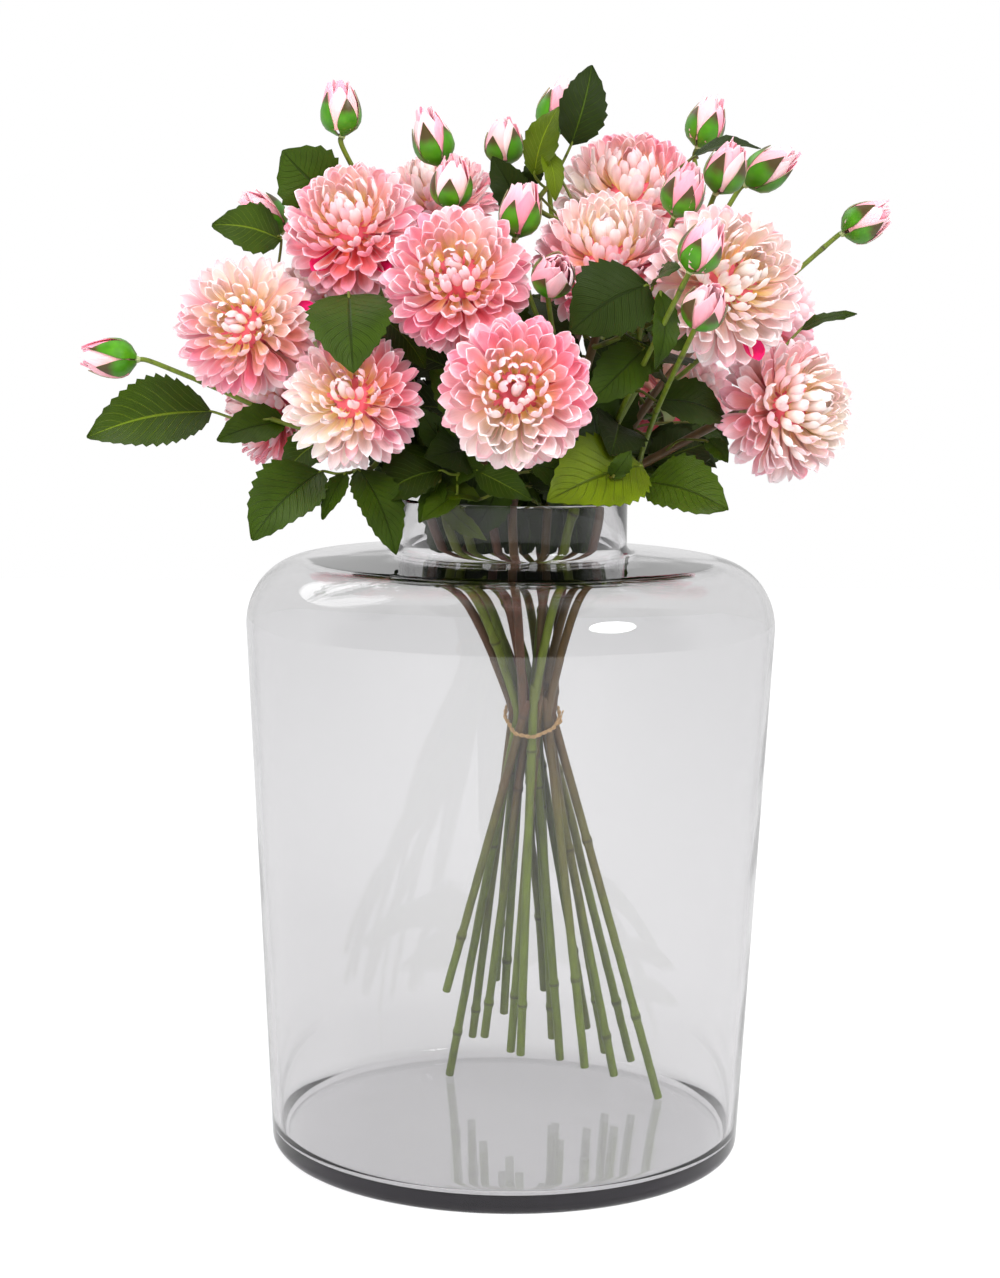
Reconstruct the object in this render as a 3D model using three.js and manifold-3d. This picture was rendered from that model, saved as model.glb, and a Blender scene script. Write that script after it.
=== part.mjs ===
// Dahlias in a jar: a tied bunch of dahlia stems with their blooms, buds and leaf sprigs, standing in a
// tall clear glass jar with a short neck. Millimetres, +Z up, the front towards -Y, and the origin at
// the middle of the jar's foot.

import * as THREE from "three";
import { mergeVertices } from "three/addons/utils/BufferGeometryUtils.js";
import Module from "manifold-3d";

const wasm = await Module();
wasm.setup();

// ---------------------------------------------------------------- driving dimensions

const TOUCH_GAP = 0.3; // left between two pieces that touch

// The jar: radii and heights of its outer surface, and its wall.
const JAR_FOOT_RADIUS = 155;
const JAR_BASE_RADIUS = 162;
const JAR_BASE_EDGE = 8;
const JAR_BODY_RADIUS = 180;
const JAR_BODY_TOP = 363;
const JAR_SHOULDER_WIDTH = 42;
const JAR_SHOULDER_RISE = 45;
const JAR_NECK_RADIUS = 78.4;
const JAR_NECK_FOOT = 413;
const JAR_NECK_FILLET = 6;
const JAR_HEIGHT = 449;
const JAR_WALL = 4.4;
const JAR_FLOOR = 11;
const JAR_FLOOR_CORNER = 10; // inside, where the floor meets the wall
const JAR_SIDES = 40;

// The stems and the tie.
const STEM_RADIUS = 3.05;
const STEM_SIDES = 6;
const STEM_PITCH = 6.8; // between two stems that lie side by side
const STALK_RADIUS = 1.7;
const TIE_CENTRE = new THREE.Vector3(16, 8, 298);
const TIE_TILT = THREE.MathUtils.degToRad(38); // its front hangs lower than its back
const TIE_STRAND = 1.3; // radius of the twine
const TIE_SLANT = 0.85; // more room in front and behind, where the loop crosses the stems at a slant
const TIE_STEPS = 40; // directions in which the bundle's width is measured
const TIE_RINGS = 36;
const TIE_SIDES = 6;
const TWIST = THREE.MathUtils.degToRad(55); // how far the bunch turns between its feet and the neck
const NECK_HEIGHT = 430; // where the stems pass through the jar's neck
const NECK_REACH = 60; // how far from the jar's axis they may be there
const NECK_APPROACH = 380; // above this height they already keep within that reach
const BODY_REACH = 140; // how far from the axis they may be lower down

// How the stems' routes are drawn and kept apart.
const LEVEL_STEP = 10; // between two levels of the routes below the neck
const LOWER_PASSES = 60; // rounds of pushing apart below the neck
const LOWER_SMOOTHED = 25; // of which this many first ones also smooth
const LOWER_SMOOTHING = 0.3;
const NECK_SPARE = 2.5; // more than the pitch, between two stems in the neck
const UPPER_STEP = 7; // between two points of a route above the neck
const UPPER_PASSES = 160;
const UPPER_SMOOTHED = 120;
const UPPER_SMOOTHING = 0.35;
const CLEARANCE = 1.6; // more than their own width, kept between two routes above the neck
const BLOOM_SPARE = 1.5; // kept between a route and another stem's bloom
const LONGEST_PUSH = 4; // the most that a bloom moves a route's point in one round
const RIM_RISE = 12; // up to this far above the rim the routes keep near the neck's reach
const RIM_REACH = NECK_REACH + 4;
const STRAIGHT_END = 8; // the stretch of a stem that runs straight into its bloom
const STALK_ROOT = 5; // the stretch of a stalk that runs straight out of its stem
const STEM_TOLERANCE = 0.4; // how far a drawn stem may stray from its route
const STALK_TOLERANCE = 0.7;

// Each stem: its cut foot, the middle of its bloom, the way the bloom faces as an azimuth (0 to the
// front, positive to the right) and an elevation in degrees, and the bloom's radius.
const STEMS = [
  { foot: [-1, 85, 64], bloom: [-107, -40, 627], faces: [-15, 35], radius: 48 },
  { foot: [-24, 95, 43], bloom: [-176, -60, 563], faces: [-15, 5], radius: 48 },
  { foot: [-41, 100, 12], bloom: [-103, -105, 518], faces: [-10, 20], radius: 46 },
  { foot: [-15, 75, 49], bloom: [-37, -105, 594], faces: [-5, 18], radius: 49 },
  { foot: [-43, 60, 87], bloom: [1, -165, 526], faces: [0, 10], radius: 49 },
  { foot: [4, 45, 47], bloom: [59, -50, 609], faces: [0, 45], radius: 49 },
  { foot: [40, 50, 40], bloom: [79, 43, 652], faces: [0, 50], radius: 53 },
  { foot: [11, 30, 49], bloom: [134, -102, 593], faces: [25, 18], radius: 52 },
  { foot: [57, 25, 42], bloom: [181, -43, 513], faces: [42, 8], radius: 49 },
  { foot: [-7, 100, 85], bloom: [-163, 34, 508], faces: [-75, 5], radius: 44 },
  { foot: [29, 110, 75], bloom: [-127, 40, 586], faces: [-60, 30], radius: 40 },
  { foot: [35, 90, 44], bloom: [-54, 50, 646], faces: [-30, 60], radius: 44 },
  { foot: [74, 85, 35], bloom: [72, 138, 622], faces: [160, 35], radius: 50 },
  { foot: [61, 100, 49], bloom: [-52, 143, 600], faces: [-160, 30], radius: 49 },
  { foot: [79, 45, 30], bloom: [170, 66, 575], faces: [110, 25], radius: 49 },
  { foot: [38, 110, 49], bloom: [-150, 132, 560], faces: [-130, 15], radius: 48 },
  { foot: [93, 75, 32], bloom: [14, 168, 515], faces: [180, 5], radius: 49 },
  { foot: [112, 50, 12], bloom: [119, 148, 508], faces: [145, 5], radius: 48 },
];

// Each bud: the stem it grows from (counted from one), how far up that stem its stalk leaves it, as a
// share of the stretch above the jar's neck, and the bud's base and tip.
const BUDS = [
  { stem: 1, share: 0.7, base: [-116, -10, 688], tip: [-117, -15, 723] },
  { stem: 12, share: 0.7, base: [-51, -10, 670], tip: [-61, -17, 705] },
  { stem: 12, share: 0.6, base: [-8, 62, 674], tip: [-9, 58, 705] },
  { stem: 4, share: 0.75, base: [-43, -52, 640], tip: [-41, -62, 672] },
  { stem: 6, share: 0.6, base: [0, -66, 622], tip: [6, -76, 656] },
  { stem: 7, share: 0.6, base: [22, 14, 692], tip: [33, 9, 727] },
  { stem: 6, share: 0.5, base: [21, -110, 591], tip: [27, -142, 605] },
  { stem: 7, share: 0.7, base: [126, 66, 688], tip: [137, 64, 722] },
  { stem: 8, share: 0.8, base: [152, -20, 659], tip: [182, -30, 681] },
  { stem: 8, share: 0.7, base: [129, -60, 652], tip: [141, -72, 682] },
  { stem: 6, share: 0.8, base: [101, -84, 636], tip: [111, -97, 667] },
  { stem: 8, share: 0.45, base: [106, -158, 600], tip: [120, -168, 630] },
  { stem: 9, share: 0.45, base: [111, -164, 569], tip: [118, -190, 590] },
  { stem: 15, share: 0.7, base: [222, 20, 629], tip: [252, 15, 646] },
  { stem: 10, share: 0.55, base: [-254, 0, 539], tip: [-292, -4, 541] },
];
const BUD_RADIUS = 13;
const BUD_SIDES = 7;
const BUD_SPARE = 5; // kept between a route and a bud
const BLOOM_BACK = 0.72; // from a bloom's middle to the back of its calyx, as a share of its radius
const BLOOM_SIDES = 10;

// The leaf sprigs: the stem that carries each one, the share of its upper stretch where the leaf stalk
// leaves it, the points that the leaf stalk passes, and the leaflets, each with its base, its tip, its
// width and the way its upper face looks.
const SPRIGS = [
  {
    name: "leaf_sprig_left",
    stem: 2,
    share: 0.45,
    stalk: [[-130, -20, 494], [-162, -20, 501]],
    leaves: [
      { base: [-203, -10, 505], tip: [-284, -30, 489], width: 60, up: [-0.15, -0.75, 0.65] },
      { base: [-152, -14, 499], tip: [-198, -24, 487], width: 30, up: [0, -0.8, 0.6] },
      { base: [-122, -22, 489], tip: [-152, -45, 465], width: 30, up: [-0.2, -0.8, 0.5] },
    ],
  },
  {
    name: "leaf_sprig_front_left",
    stem: 3,
    share: 0.3,
    stalk: [[-92, -66, 472], [-104, -74, 470]],
    leaves: [
      { base: [-124, -74, 470], tip: [-168, -97, 428], width: 54, up: [-0.35, -0.75, 0.55] },
      { base: [-100, -80, 472], tip: [-66, -110, 418], width: 30, up: [0.25, -0.85, 0.35] },
      { base: [-108, -84, 470], tip: [-122, -102, 441], width: 13, up: [0, -0.9, 0.4] },
    ],
  },
  {
    name: "leaf_sprig_mouth",
    stem: 4,
    share: 0.12,
    stalk: [[-26, -74, 462]],
    leaves: [
      { base: [-46, -82, 472], tip: [-88, -92, 452], width: 36, up: [-0.1, -0.7, 0.7] },
      { base: [-36, -84, 455], tip: [-58, -100, 441], width: 20, up: [0, -0.6, 0.8] },
      { base: [2, -80, 466], tip: [22, -96, 458], width: 22, up: [0.1, -0.8, 0.6] },
    ],
  },
  {
    name: "leaf_sprig_front_right",
    stem: 9,
    share: 0.2,
    stalk: [[70, -62, 462], [78, -68, 466]],
    leaves: [
      { base: [84, -72, 476], tip: [22, -112, 456], width: 58, up: [0, -0.8, 0.6] },
      { base: [86, -70, 465], tip: [139, -90, 450], width: 50, up: [0.1, -0.7, 0.7] },
      { base: [84, -62, 461], tip: [112, -60, 456], width: 14, up: [0, -0.5, 0.9] },
    ],
  },
  {
    name: "leaf_sprig_middle",
    stem: 8,
    share: 0.42,
    stalk: [[80, -94, 556], [82, -108, 576]],
    leaves: [
      { base: [83, -118, 592], tip: [34, -136, 562], width: 54, up: [-0.1, -0.9, 0.35] },
      { base: [86, -120, 592], tip: [101, -140, 603], width: 20, up: [0.1, -0.7, 0.7] },
      { base: [90, -130, 588], tip: [88, -134, 540], width: 18, up: [0.4, -0.9, 0] },
      { base: [82, -100, 552], tip: [47, -122, 518], width: 32, up: [0.1, -0.9, 0.4] },
    ],
  },
  {
    name: "leaf_sprig_top",
    stem: 7,
    share: 0.45,
    stalk: [[18, 0, 640], [20, -6, 656]],
    leaves: [
      { base: [12, -16, 664], tip: [26, -26, 708], width: 26, up: [-0.5, -0.8, 0.1] },
      { base: [36, -8, 684], tip: [50, -4, 737], width: 33, up: [0.3, -0.95, 0] },
      { base: [4, -6, 640], tip: [-16, -12, 676], width: 24, up: [-0.2, -0.9, 0.2] },
    ],
  },
  {
    name: "leaf_sprig_back",
    stem: 17,
    share: 0.35,
    stalk: [[6, 96, 470], [8, 106, 476]],
    leaves: [
      { base: [-12, 116, 474], tip: [-72, 150, 450], width: 54, up: [-0.1, 0.7, 0.7] },
      { base: [34, 114, 472], tip: [92, 148, 444], width: 50, up: [0.2, 0.7, 0.7] },
      { base: [12, 118, 468], tip: [20, 158, 436], width: 34, up: [0, 0.7, 0.7] },
    ],
  },
];
const LEAF_THICKNESS = 1.2;
const LEAF_ARCH = 0.1; // how high a blade arches, as a share of its length
const LEAF_OFF_STEM = 0.5; // kept between a blade and a stem
const LEAF_OFF_BLOOM = 0.6;
const LEAF_STALK_RADIUS = 0.8 * STALK_RADIUS;
const LEAF_STALK_SIDES = 5;
const LEAF_STALK_END = 0.12; // how far along the midrib a leaflet's stalk ends

const GLASS = { color: 0xd9dadd, roughness: 0.05, metalness: 0, transparent: true, opacity: 0.35 };
const STEM_SKIN = { color: 0x6f7a35, roughness: 0.55, metalness: 0 };
const LEAF_CLOTH = { color: 0x3f6a22, roughness: 0.6, metalness: 0 };
const PETAL_CLOTH = { color: 0xf2b3bd, roughness: 0.8, metalness: 0 };
const BUD_CLOTH = { color: 0x8fae5a, roughness: 0.6, metalness: 0 };
const TWINE = { color: 0xc39a6b, roughness: 0.9, metalness: 0 };

// ---------------------------------------------------------------- small helpers

const vec = (list) => new THREE.Vector3(...list);

// The direction of an azimuth and an elevation: 0, 0 is the front, -Y.
function facing(azimuth, elevation) {
  const a = THREE.MathUtils.degToRad(azimuth);
  const e = THREE.MathUtils.degToRad(elevation);
  return new THREE.Vector3(Math.sin(a) * Math.cos(e), -Math.cos(a) * Math.cos(e), Math.sin(e));
}

// Lathe profiles are drawn about Y; this turns them to stand along +Z.
function lathe(profile, sides) {
  const points = profile.map(([r, z]) => new THREE.Vector2(r, z));
  return new THREE.LatheGeometry(points, sides).rotateX(Math.PI / 2);
}

// A path that passes straight from point to point, so that a tube has its rings at those points.
class PointPath extends THREE.Curve {
  constructor(points) {
    super();
    this.points = points;
  }
  getPoint(t) {
    const at = t * (this.points.length - 1);
    const i = Math.min(Math.floor(at), this.points.length - 2);
    return this.points[i].clone().lerp(this.points[i + 1], at - i);
  }
  getPointAt(u) {
    return this.getPoint(u);
  }
  getTangent(t) {
    const at = Math.round(t * (this.points.length - 1));
    const before = this.points[Math.max(at - 1, 0)];
    const after = this.points[Math.min(at + 1, this.points.length - 1)];
    return after.clone().sub(before).normalize();
  }
  getTangentAt(u) {
    return this.getTangent(u);
  }
}

// A solid tube with round section through the points.
function tube(points, radius, sides) {
  const section = new THREE.Shape();
  for (let i = 0; i < sides; i++) {
    const a = (2 * Math.PI * i) / sides;
    if (i === 0) section.moveTo(radius, 0);
    else section.lineTo(radius * Math.cos(a), radius * Math.sin(a));
  }
  return new THREE.ExtrudeGeometry(section, {
    steps: points.length - 1,
    extrudePath: new PointPath(points),
    bevelEnabled: false,
  });
}

// The points of a path that its shape needs: those it would stray from by more than the tolerance.
function thinned(points, tolerance) {
  const chord = new THREE.Line3(points[0], points[points.length - 1]);
  const near = new THREE.Vector3();
  let worst = 0;
  let split = 0;
  for (let i = 1; i < points.length - 1; i++) {
    const off = chord.closestPointToPoint(points[i], true, near).distanceTo(points[i]);
    if (off > worst) {
      worst = off;
      split = i;
    }
  }
  if (worst <= tolerance) return [points[0], points[points.length - 1]];
  const first = thinned(points.slice(0, split + 1), tolerance);
  return first.slice(0, -1).concat(thinned(points.slice(split), tolerance));
}

// ---------------------------------------------------------------- solids for joining and cutting

function solidOf(geometry) {
  const bare = geometry.clone();
  bare.deleteAttribute("normal");
  bare.deleteAttribute("uv");
  const merged = mergeVertices(bare, 1e-3);
  return new wasm.Manifold(
    new wasm.Mesh({
      numProp: 3,
      vertProperties: new Float32Array(merged.attributes.position.array),
      triVerts: new Uint32Array(merged.index.array),
    }),
  );
}

function geometryOf(solid) {
  const mesh = solid.getMesh();
  const geometry = new THREE.BufferGeometry();
  geometry.setAttribute("position", new THREE.BufferAttribute(mesh.vertProperties, 3));
  geometry.setIndex(new THREE.BufferAttribute(mesh.triVerts, 1));
  geometry.computeVertexNormals();
  return geometry;
}

// ---------------------------------------------------------------- the jar

function ellipseArc(centre, a, b, from, to, steps) {
  const points = [];
  for (let i = 0; i <= steps; i++) {
    const t = THREE.MathUtils.degToRad(from + ((to - from) * i) / steps);
    points.push([centre[0] + a * Math.cos(t), centre[1] + b * Math.sin(t)]);
  }
  return points;
}

// The jar's section: outside from the foot up to the rim, then inside down to the floor's middle.
function jarProfile() {
  const w = JAR_WALL;
  const shoulder = [JAR_BODY_RADIUS - JAR_SHOULDER_WIDTH, JAR_BODY_TOP];
  const fillet = [JAR_NECK_RADIUS + JAR_NECK_FILLET, JAR_NECK_FOOT + JAR_NECK_FILLET];
  const rim = [JAR_NECK_RADIUS - w / 2, JAR_HEIGHT - w / 2];
  const edge = [JAR_FOOT_RADIUS, JAR_BASE_EDGE];
  const floorEdge = [JAR_BASE_RADIUS - w - JAR_FLOOR_CORNER, JAR_FLOOR + JAR_FLOOR_CORNER];
  const outside = [
    [0, 0],
    ...ellipseArc(edge, JAR_BASE_RADIUS - JAR_FOOT_RADIUS, JAR_BASE_EDGE, -90, 0, 3),
    ...ellipseArc(shoulder, JAR_SHOULDER_WIDTH, JAR_SHOULDER_RISE, 0, 90, 7),
    ...ellipseArc(fillet, -JAR_NECK_FILLET, -JAR_NECK_FILLET, 90, 0, 3),
  ];
  const lip = ellipseArc(rim, w / 2, w / 2, 0, 180, 4);
  const inside = [
    ...ellipseArc(fillet, -JAR_NECK_FILLET - w, -JAR_NECK_FILLET - w, 0, 90, 3),
    ...ellipseArc(shoulder, JAR_SHOULDER_WIDTH - w, JAR_SHOULDER_RISE - w, 90, 0, 7),
    ...ellipseArc(floorEdge, JAR_FLOOR_CORNER, JAR_FLOOR_CORNER, 0, -90, 3),
    [0, JAR_FLOOR],
  ];
  return [...outside, ...lip, ...inside];
}

// ---------------------------------------------------------------- routes of the stems

// The places in a bunch packed in hexagons, the middle one first, without the last corner.
function packedPlaces(count, pitch) {
  const places = [];
  for (let q = -2; q <= 2; q++) {
    for (let r = -2; r <= 2; r++) {
      if (Math.abs(q + r) > 2) continue;
      places.push(new THREE.Vector2(pitch * (q + r / 2), (pitch * r * Math.sqrt(3)) / 2));
    }
  }
  places.sort((a, b) => a.length() - b.length() || b.y - a.y);
  return places.slice(0, count);
}

// Gives each wish the place that keeps the sum of the squared distances small, by swapping pairs.
function assignPlaces(wishes, places) {
  const given = places.slice();
  const cost = (i, j) => wishes[i].distanceToSquared(given[j]);
  let better = true;
  while (better) {
    better = false;
    for (let i = 0; i < given.length; i++) {
      for (let j = i + 1; j < given.length; j++) {
        if (cost(i, j) + cost(j, i) < cost(i, i) + cost(j, j) - 1e-9) {
          [given[i], given[j]] = [given[j], given[i]];
          better = true;
        }
      }
    }
  }
  return given;
}

// Where each stem crosses the neck: towards its own bloom, the outer and lower blooms at the rim.
function neckPlace(stem) {
  const reach = new THREE.Vector2(stem.bloom[0], stem.bloom[1]);
  const lean = reach.length() / (stem.bloom[2] - NECK_HEIGHT + 40);
  return reach.normalize().multiplyScalar(NECK_REACH * Math.min(1, 0.3 + 0.6 * lean));
}

// Pushes each pair of points that are nearer than the pitch apart, inside a round limit.
function spread(points, pitch, centre, limit, rounds) {
  for (let round = 0; round < rounds; round++) {
    for (let i = 0; i < points.length; i++) {
      for (let j = i + 1; j < points.length; j++) {
        const apart = points[i].clone().sub(points[j]);
        const gap = apart.length();
        if (gap >= pitch) continue;
        if (gap < 1e-6) apart.set(1, 0);
        apart.setLength((pitch - gap) / 2);
        points[i].add(apart);
        points[j].sub(apart);
      }
      const out = points[i].clone().sub(centre);
      if (out.length() > limit) points[i].copy(centre).add(out.setLength(limit));
    }
  }
}

// Routes from the feet to the neck, one level above another, so that no two stems meet.
function lowerRoutes() {
  const tie = new THREE.Vector2(TIE_CENTRE.x, TIE_CENTRE.y);
  const necks = STEMS.map(neckPlace);
  const axis = new THREE.Vector2(0, 0);
  spread(necks, STEM_PITCH + NECK_SPARE, axis, NECK_REACH, LOWER_PASSES);
  const feet = STEMS.map((s) => new THREE.Vector2(s.foot[0], s.foot[1]));
  const wishes = necks.map((p) => p.clone().rotateAround(axis, -TWIST / 2).multiplyScalar(0.25).add(tie));
  const packed = packedPlaces(STEMS.length, STEM_PITCH).map((p) => p.add(tie));
  const ties = assignPlaces(wishes, packed);
  const levels = [];
  for (let z = 0; z <= NECK_HEIGHT; z += LEVEL_STEP) {
    levels.push(z);
  }
  const routes = STEMS.map((s, i) => {
    const route = [];
    for (const z of levels) {
      if (z < s.foot[2] + LEVEL_STEP / 2) continue;
      const below = z <= TIE_CENTRE.z;
      const t = below
        ? (z - s.foot[2]) / (TIE_CENTRE.z - s.foot[2])
        : (z - TIE_CENTRE.z) / (NECK_HEIGHT - TIE_CENTRE.z);
      const at = below ? feet[i].clone().lerp(ties[i], t) : ties[i].clone().lerp(necks[i], t ** 1.25);
      route.push({ z, at });
    }
    return route;
  });
  for (let pass = 0; pass < LOWER_PASSES; pass++) {
    for (const route of routes) {
      for (let k = 1; k < route.length - 1; k++) {
        const atTie = Math.abs(route[k].z - TIE_CENTRE.z) < 1.5 * LEVEL_STEP;
        if (pass >= LOWER_SMOOTHED || atTie) continue;
        const middle = route[k - 1].at.clone().add(route[k + 1].at).multiplyScalar(0.5);
        route[k].at.lerp(middle, LOWER_SMOOTHING);
      }
    }
    for (const z of levels) {
      const here = routes.flatMap((route) => route.filter((p) => p.z === z)).map((p) => p.at);
      spread(here, STEM_PITCH, axis, z > NECK_APPROACH ? NECK_REACH : BODY_REACH, 4);
    }
  }
  return routes.map((route, i) => [
    vec(STEMS[i].foot),
    ...route.slice(1).map((p) => new THREE.Vector3(p.at.x, p.at.y, p.z)),
  ]);
}

// The stretch above the neck, before it is bent clear of its neighbours.
function upperRoute(start, before, stem) {
  const axis = facing(...stem.faces);
  const end = vec(stem.bloom).addScaledVector(axis, -BLOOM_BACK * stem.radius - TOUCH_GAP);
  const bend = end.clone().addScaledVector(axis, -STRAIGHT_END);
  const span = start.distanceTo(bend);
  const rise = start.clone().sub(before).normalize();
  const curve = new THREE.CubicBezierCurve3(
    start,
    start.clone().addScaledVector(rise, span * 0.4),
    bend.clone().addScaledVector(axis, -Math.min(span * 0.3, 35)),
    bend,
  );
  const points = curve.getSpacedPoints(Math.max(6, Math.round(span / UPPER_STEP))).slice(1);
  return [...points, end];
}

// The place on a stem's side that looks towards a target, and the way out of the stem there.
function socket(upper, share, target) {
  const k = Math.round(share * (upper.length - 1));
  const along = upper[k + 1].clone().sub(upper[k - 1]).normalize();
  const out = target.clone().sub(upper[k]);
  out.addScaledVector(along, -out.dot(along)).normalize();
  return { start: upper[k].clone().addScaledVector(out, STEM_RADIUS + TOUCH_GAP), out };
}

// A bud's stalk, from its stem to the bud's base.
function budStalk(bud, routes) {
  const base = vec(bud.base);
  const axis = vec(bud.tip).sub(base).normalize();
  const { start, out } = socket(routes[bud.stem - 1].upper, bud.share, base);
  const root = start.clone().addScaledVector(out, STALK_ROOT);
  const span = root.distanceTo(base);
  const curve = new THREE.CubicBezierCurve3(
    root,
    root.clone().addScaledVector(out, span * 0.2),
    base.clone().addScaledVector(axis, -span * 0.35),
    base,
  );
  return [start, ...curve.getSpacedPoints(Math.max(3, Math.round(span / UPPER_STEP)))];
}

// Moves the free points of all the upper routes clear of one another and of the other blooms.
function clearRoutes(chains, balls) {
  const push = new THREE.Vector3();
  for (let pass = 0; pass < UPPER_PASSES; pass++) {
    const smoothing = pass < UPPER_SMOOTHED ? UPPER_SMOOTHING : 0;
    for (const chain of chains) {
      for (let k = chain.held; k < chain.points.length - chain.fixed; k++) {
        const p = chain.points[k];
        const middle = chain.points[k - 1].clone().add(chain.points[k + 1]).multiplyScalar(0.5);
        p.lerp(middle, smoothing);
        for (const ball of balls) {
          const gap = p.distanceTo(ball.centre);
          const limit = ball.radius + chain.radius + BLOOM_SPARE;
          if (ball.owner === chain.owner || gap >= limit) continue;
          p.add(push.copy(p).sub(ball.centre).setLength(Math.min(limit - gap, LONGEST_PUSH)));
        }
        const out = Math.hypot(p.x, p.y);
        if (p.z < JAR_HEIGHT + RIM_RISE && out > RIM_REACH) {
          p.set((p.x * RIM_REACH) / out, (p.y * RIM_REACH) / out, p.z);
        }
      }
    }
    for (let a = 0; a < chains.length; a++) {
      for (let b = a + 1; b < chains.length; b++) {
        separate(chains[a], chains[b]);
      }
    }
  }
}

// Pushes two routes apart where they are too near, except where a stalk leaves its own stem.
function separate(first, second) {
  const limit = first.radius + second.radius + CLEARANCE;
  const push = new THREE.Vector3();
  first.points.forEach((p, i) => {
    second.points.forEach((q, j) => {
      if (Math.abs(p.z - q.z) > limit || Math.abs(p.x - q.x) > limit) return;
      if (first.parent === second.owner && i < 3) return;
      if (second.parent === first.owner && j < 3) return;
      const gap = p.distanceTo(q);
      if (gap >= limit || gap < 1e-6) return;
      push.copy(p).sub(q).setLength((limit - gap) / 2);
      if (i >= first.held && i < first.points.length - first.fixed) p.add(push);
      if (j >= second.held && j < second.points.length - second.fixed) q.sub(push);
    });
  });
}

// Every stem's route in two stretches, below and above the neck, and every bud stalk's.
function allRoutes() {
  const routes = lowerRoutes().map((lower, i) => {
    const [before, start] = lower.slice(-2);
    return { lower, upper: [start, ...upperRoute(start, before, STEMS[i])] };
  });
  const stems = routes.map((r, i) => ({
    owner: i,
    points: r.upper,
    radius: STEM_RADIUS,
    held: 1,
    fixed: 3,
  }));
  const balls = STEMS.map((s, i) => ({ owner: i, centre: vec(s.bloom), radius: s.radius }));
  for (const bud of BUDS) {
    const middle = vec(bud.base).lerp(vec(bud.tip), 0.4);
    balls.push({ owner: bud, centre: middle, radius: BUD_RADIUS + BUD_SPARE });
  }
  clearRoutes(stems, balls);
  const stalks = BUDS.map((bud) => ({
    owner: bud,
    parent: bud.stem - 1,
    points: budStalk(bud, routes),
    radius: STALK_RADIUS,
    held: 2,
    fixed: 2,
  }));
  clearRoutes([...stems.map((s) => ({ ...s, fixed: s.points.length })), ...stalks], balls);
  return { stems: routes, stalks: stalks.map((s) => s.points) };
}

// ---------------------------------------------------------------- blooms, buds and leaves

// A bloom as a ball of petals: full in front, flatter behind, with its calyx at the back.
function bloomGeometry(stem) {
  const r = stem.radius;
  const profile = [
    [0, -BLOOM_BACK * r],
    [0.14 * r, -BLOOM_BACK * r],
    [0.22 * r, -0.55 * r],
    [0.72 * r, -0.5 * r],
    [0.95 * r, -0.22 * r],
    [r, 0.08 * r],
    [0.9 * r, 0.42 * r],
    [0.62 * r, 0.68 * r],
    [0.3 * r, 0.79 * r],
    [0, 0.82 * r],
  ];
  const turn = new THREE.Quaternion().setFromUnitVectors(
    new THREE.Vector3(0, 0, 1),
    facing(...stem.faces),
  );
  return lathe(profile, BLOOM_SIDES).applyQuaternion(turn).translate(...stem.bloom);
}

// A bud and its stalk: rings of one loft along the stalk and up the bud.
function budGeometry(bud, stalk) {
  const base = vec(bud.base);
  const axis = vec(bud.tip).sub(base);
  const swell = [
    [0.02, 0.3],
    [0.12, 0.72],
    [0.32, 1],
    [0.55, 0.95],
    [0.8, 0.62],
    [1, 0.25],
  ];
  const path = thinned(stalk, STALK_TOLERANCE);
  const radii = path.map(() => STALK_RADIUS);
  for (const [share, size] of swell) {
    path.push(base.clone().addScaledVector(axis, share));
    radii.push(size * BUD_RADIUS);
  }
  return loft(path, radii, BUD_SIDES);
}

// A closed skin over rings of different radii along a path.
function loft(path, radii, sides) {
  const line = new PointPath(path);
  const frames = line.computeFrenetFrames(path.length - 1, false);
  const positions = [];
  const index = [];
  path.forEach((centre, k) => {
    for (let i = 0; i < sides; i++) {
      const a = (2 * Math.PI * i) / sides;
      const p = centre
        .clone()
        .addScaledVector(frames.normals[k], radii[k] * Math.cos(a))
        .addScaledVector(frames.binormals[k], radii[k] * Math.sin(a));
      positions.push(p.x, p.y, p.z);
    }
  });
  for (let k = 0; k < path.length - 1; k++) {
    for (let i = 0; i < sides; i++) {
      const a = k * sides + i;
      const b = k * sides + ((i + 1) % sides);
      index.push(a, b, a + sides, b, b + sides, a + sides);
    }
  }
  const last = (path.length - 1) * sides;
  for (let i = 1; i < sides - 1; i++) {
    index.push(0, i + 1, i);
    index.push(last, last + i, last + i + 1);
  }
  const geometry = new THREE.BufferGeometry();
  geometry.setAttribute("position", new THREE.Float32BufferAttribute(positions, 3));
  geometry.setIndex(index);
  geometry.computeVertexNormals();
  return geometry;
}

// The way a leaflet's upper face looks, square to its length.
function leafFace({ base, tip, up }) {
  const along = vec(tip).sub(vec(base));
  const face = vec(up);
  return face.addScaledVector(along, -face.dot(along) / along.lengthSq()).normalize();
}

// A point on a leaflet's midrib.
function midrib(leaf, t) {
  const length = vec(leaf.base).distanceTo(vec(leaf.tip));
  const rib = vec(leaf.base).lerp(vec(leaf.tip), t);
  return rib.addScaledVector(leafFace(leaf), LEAF_ARCH * length * Math.sin(Math.PI * t));
}

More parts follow.
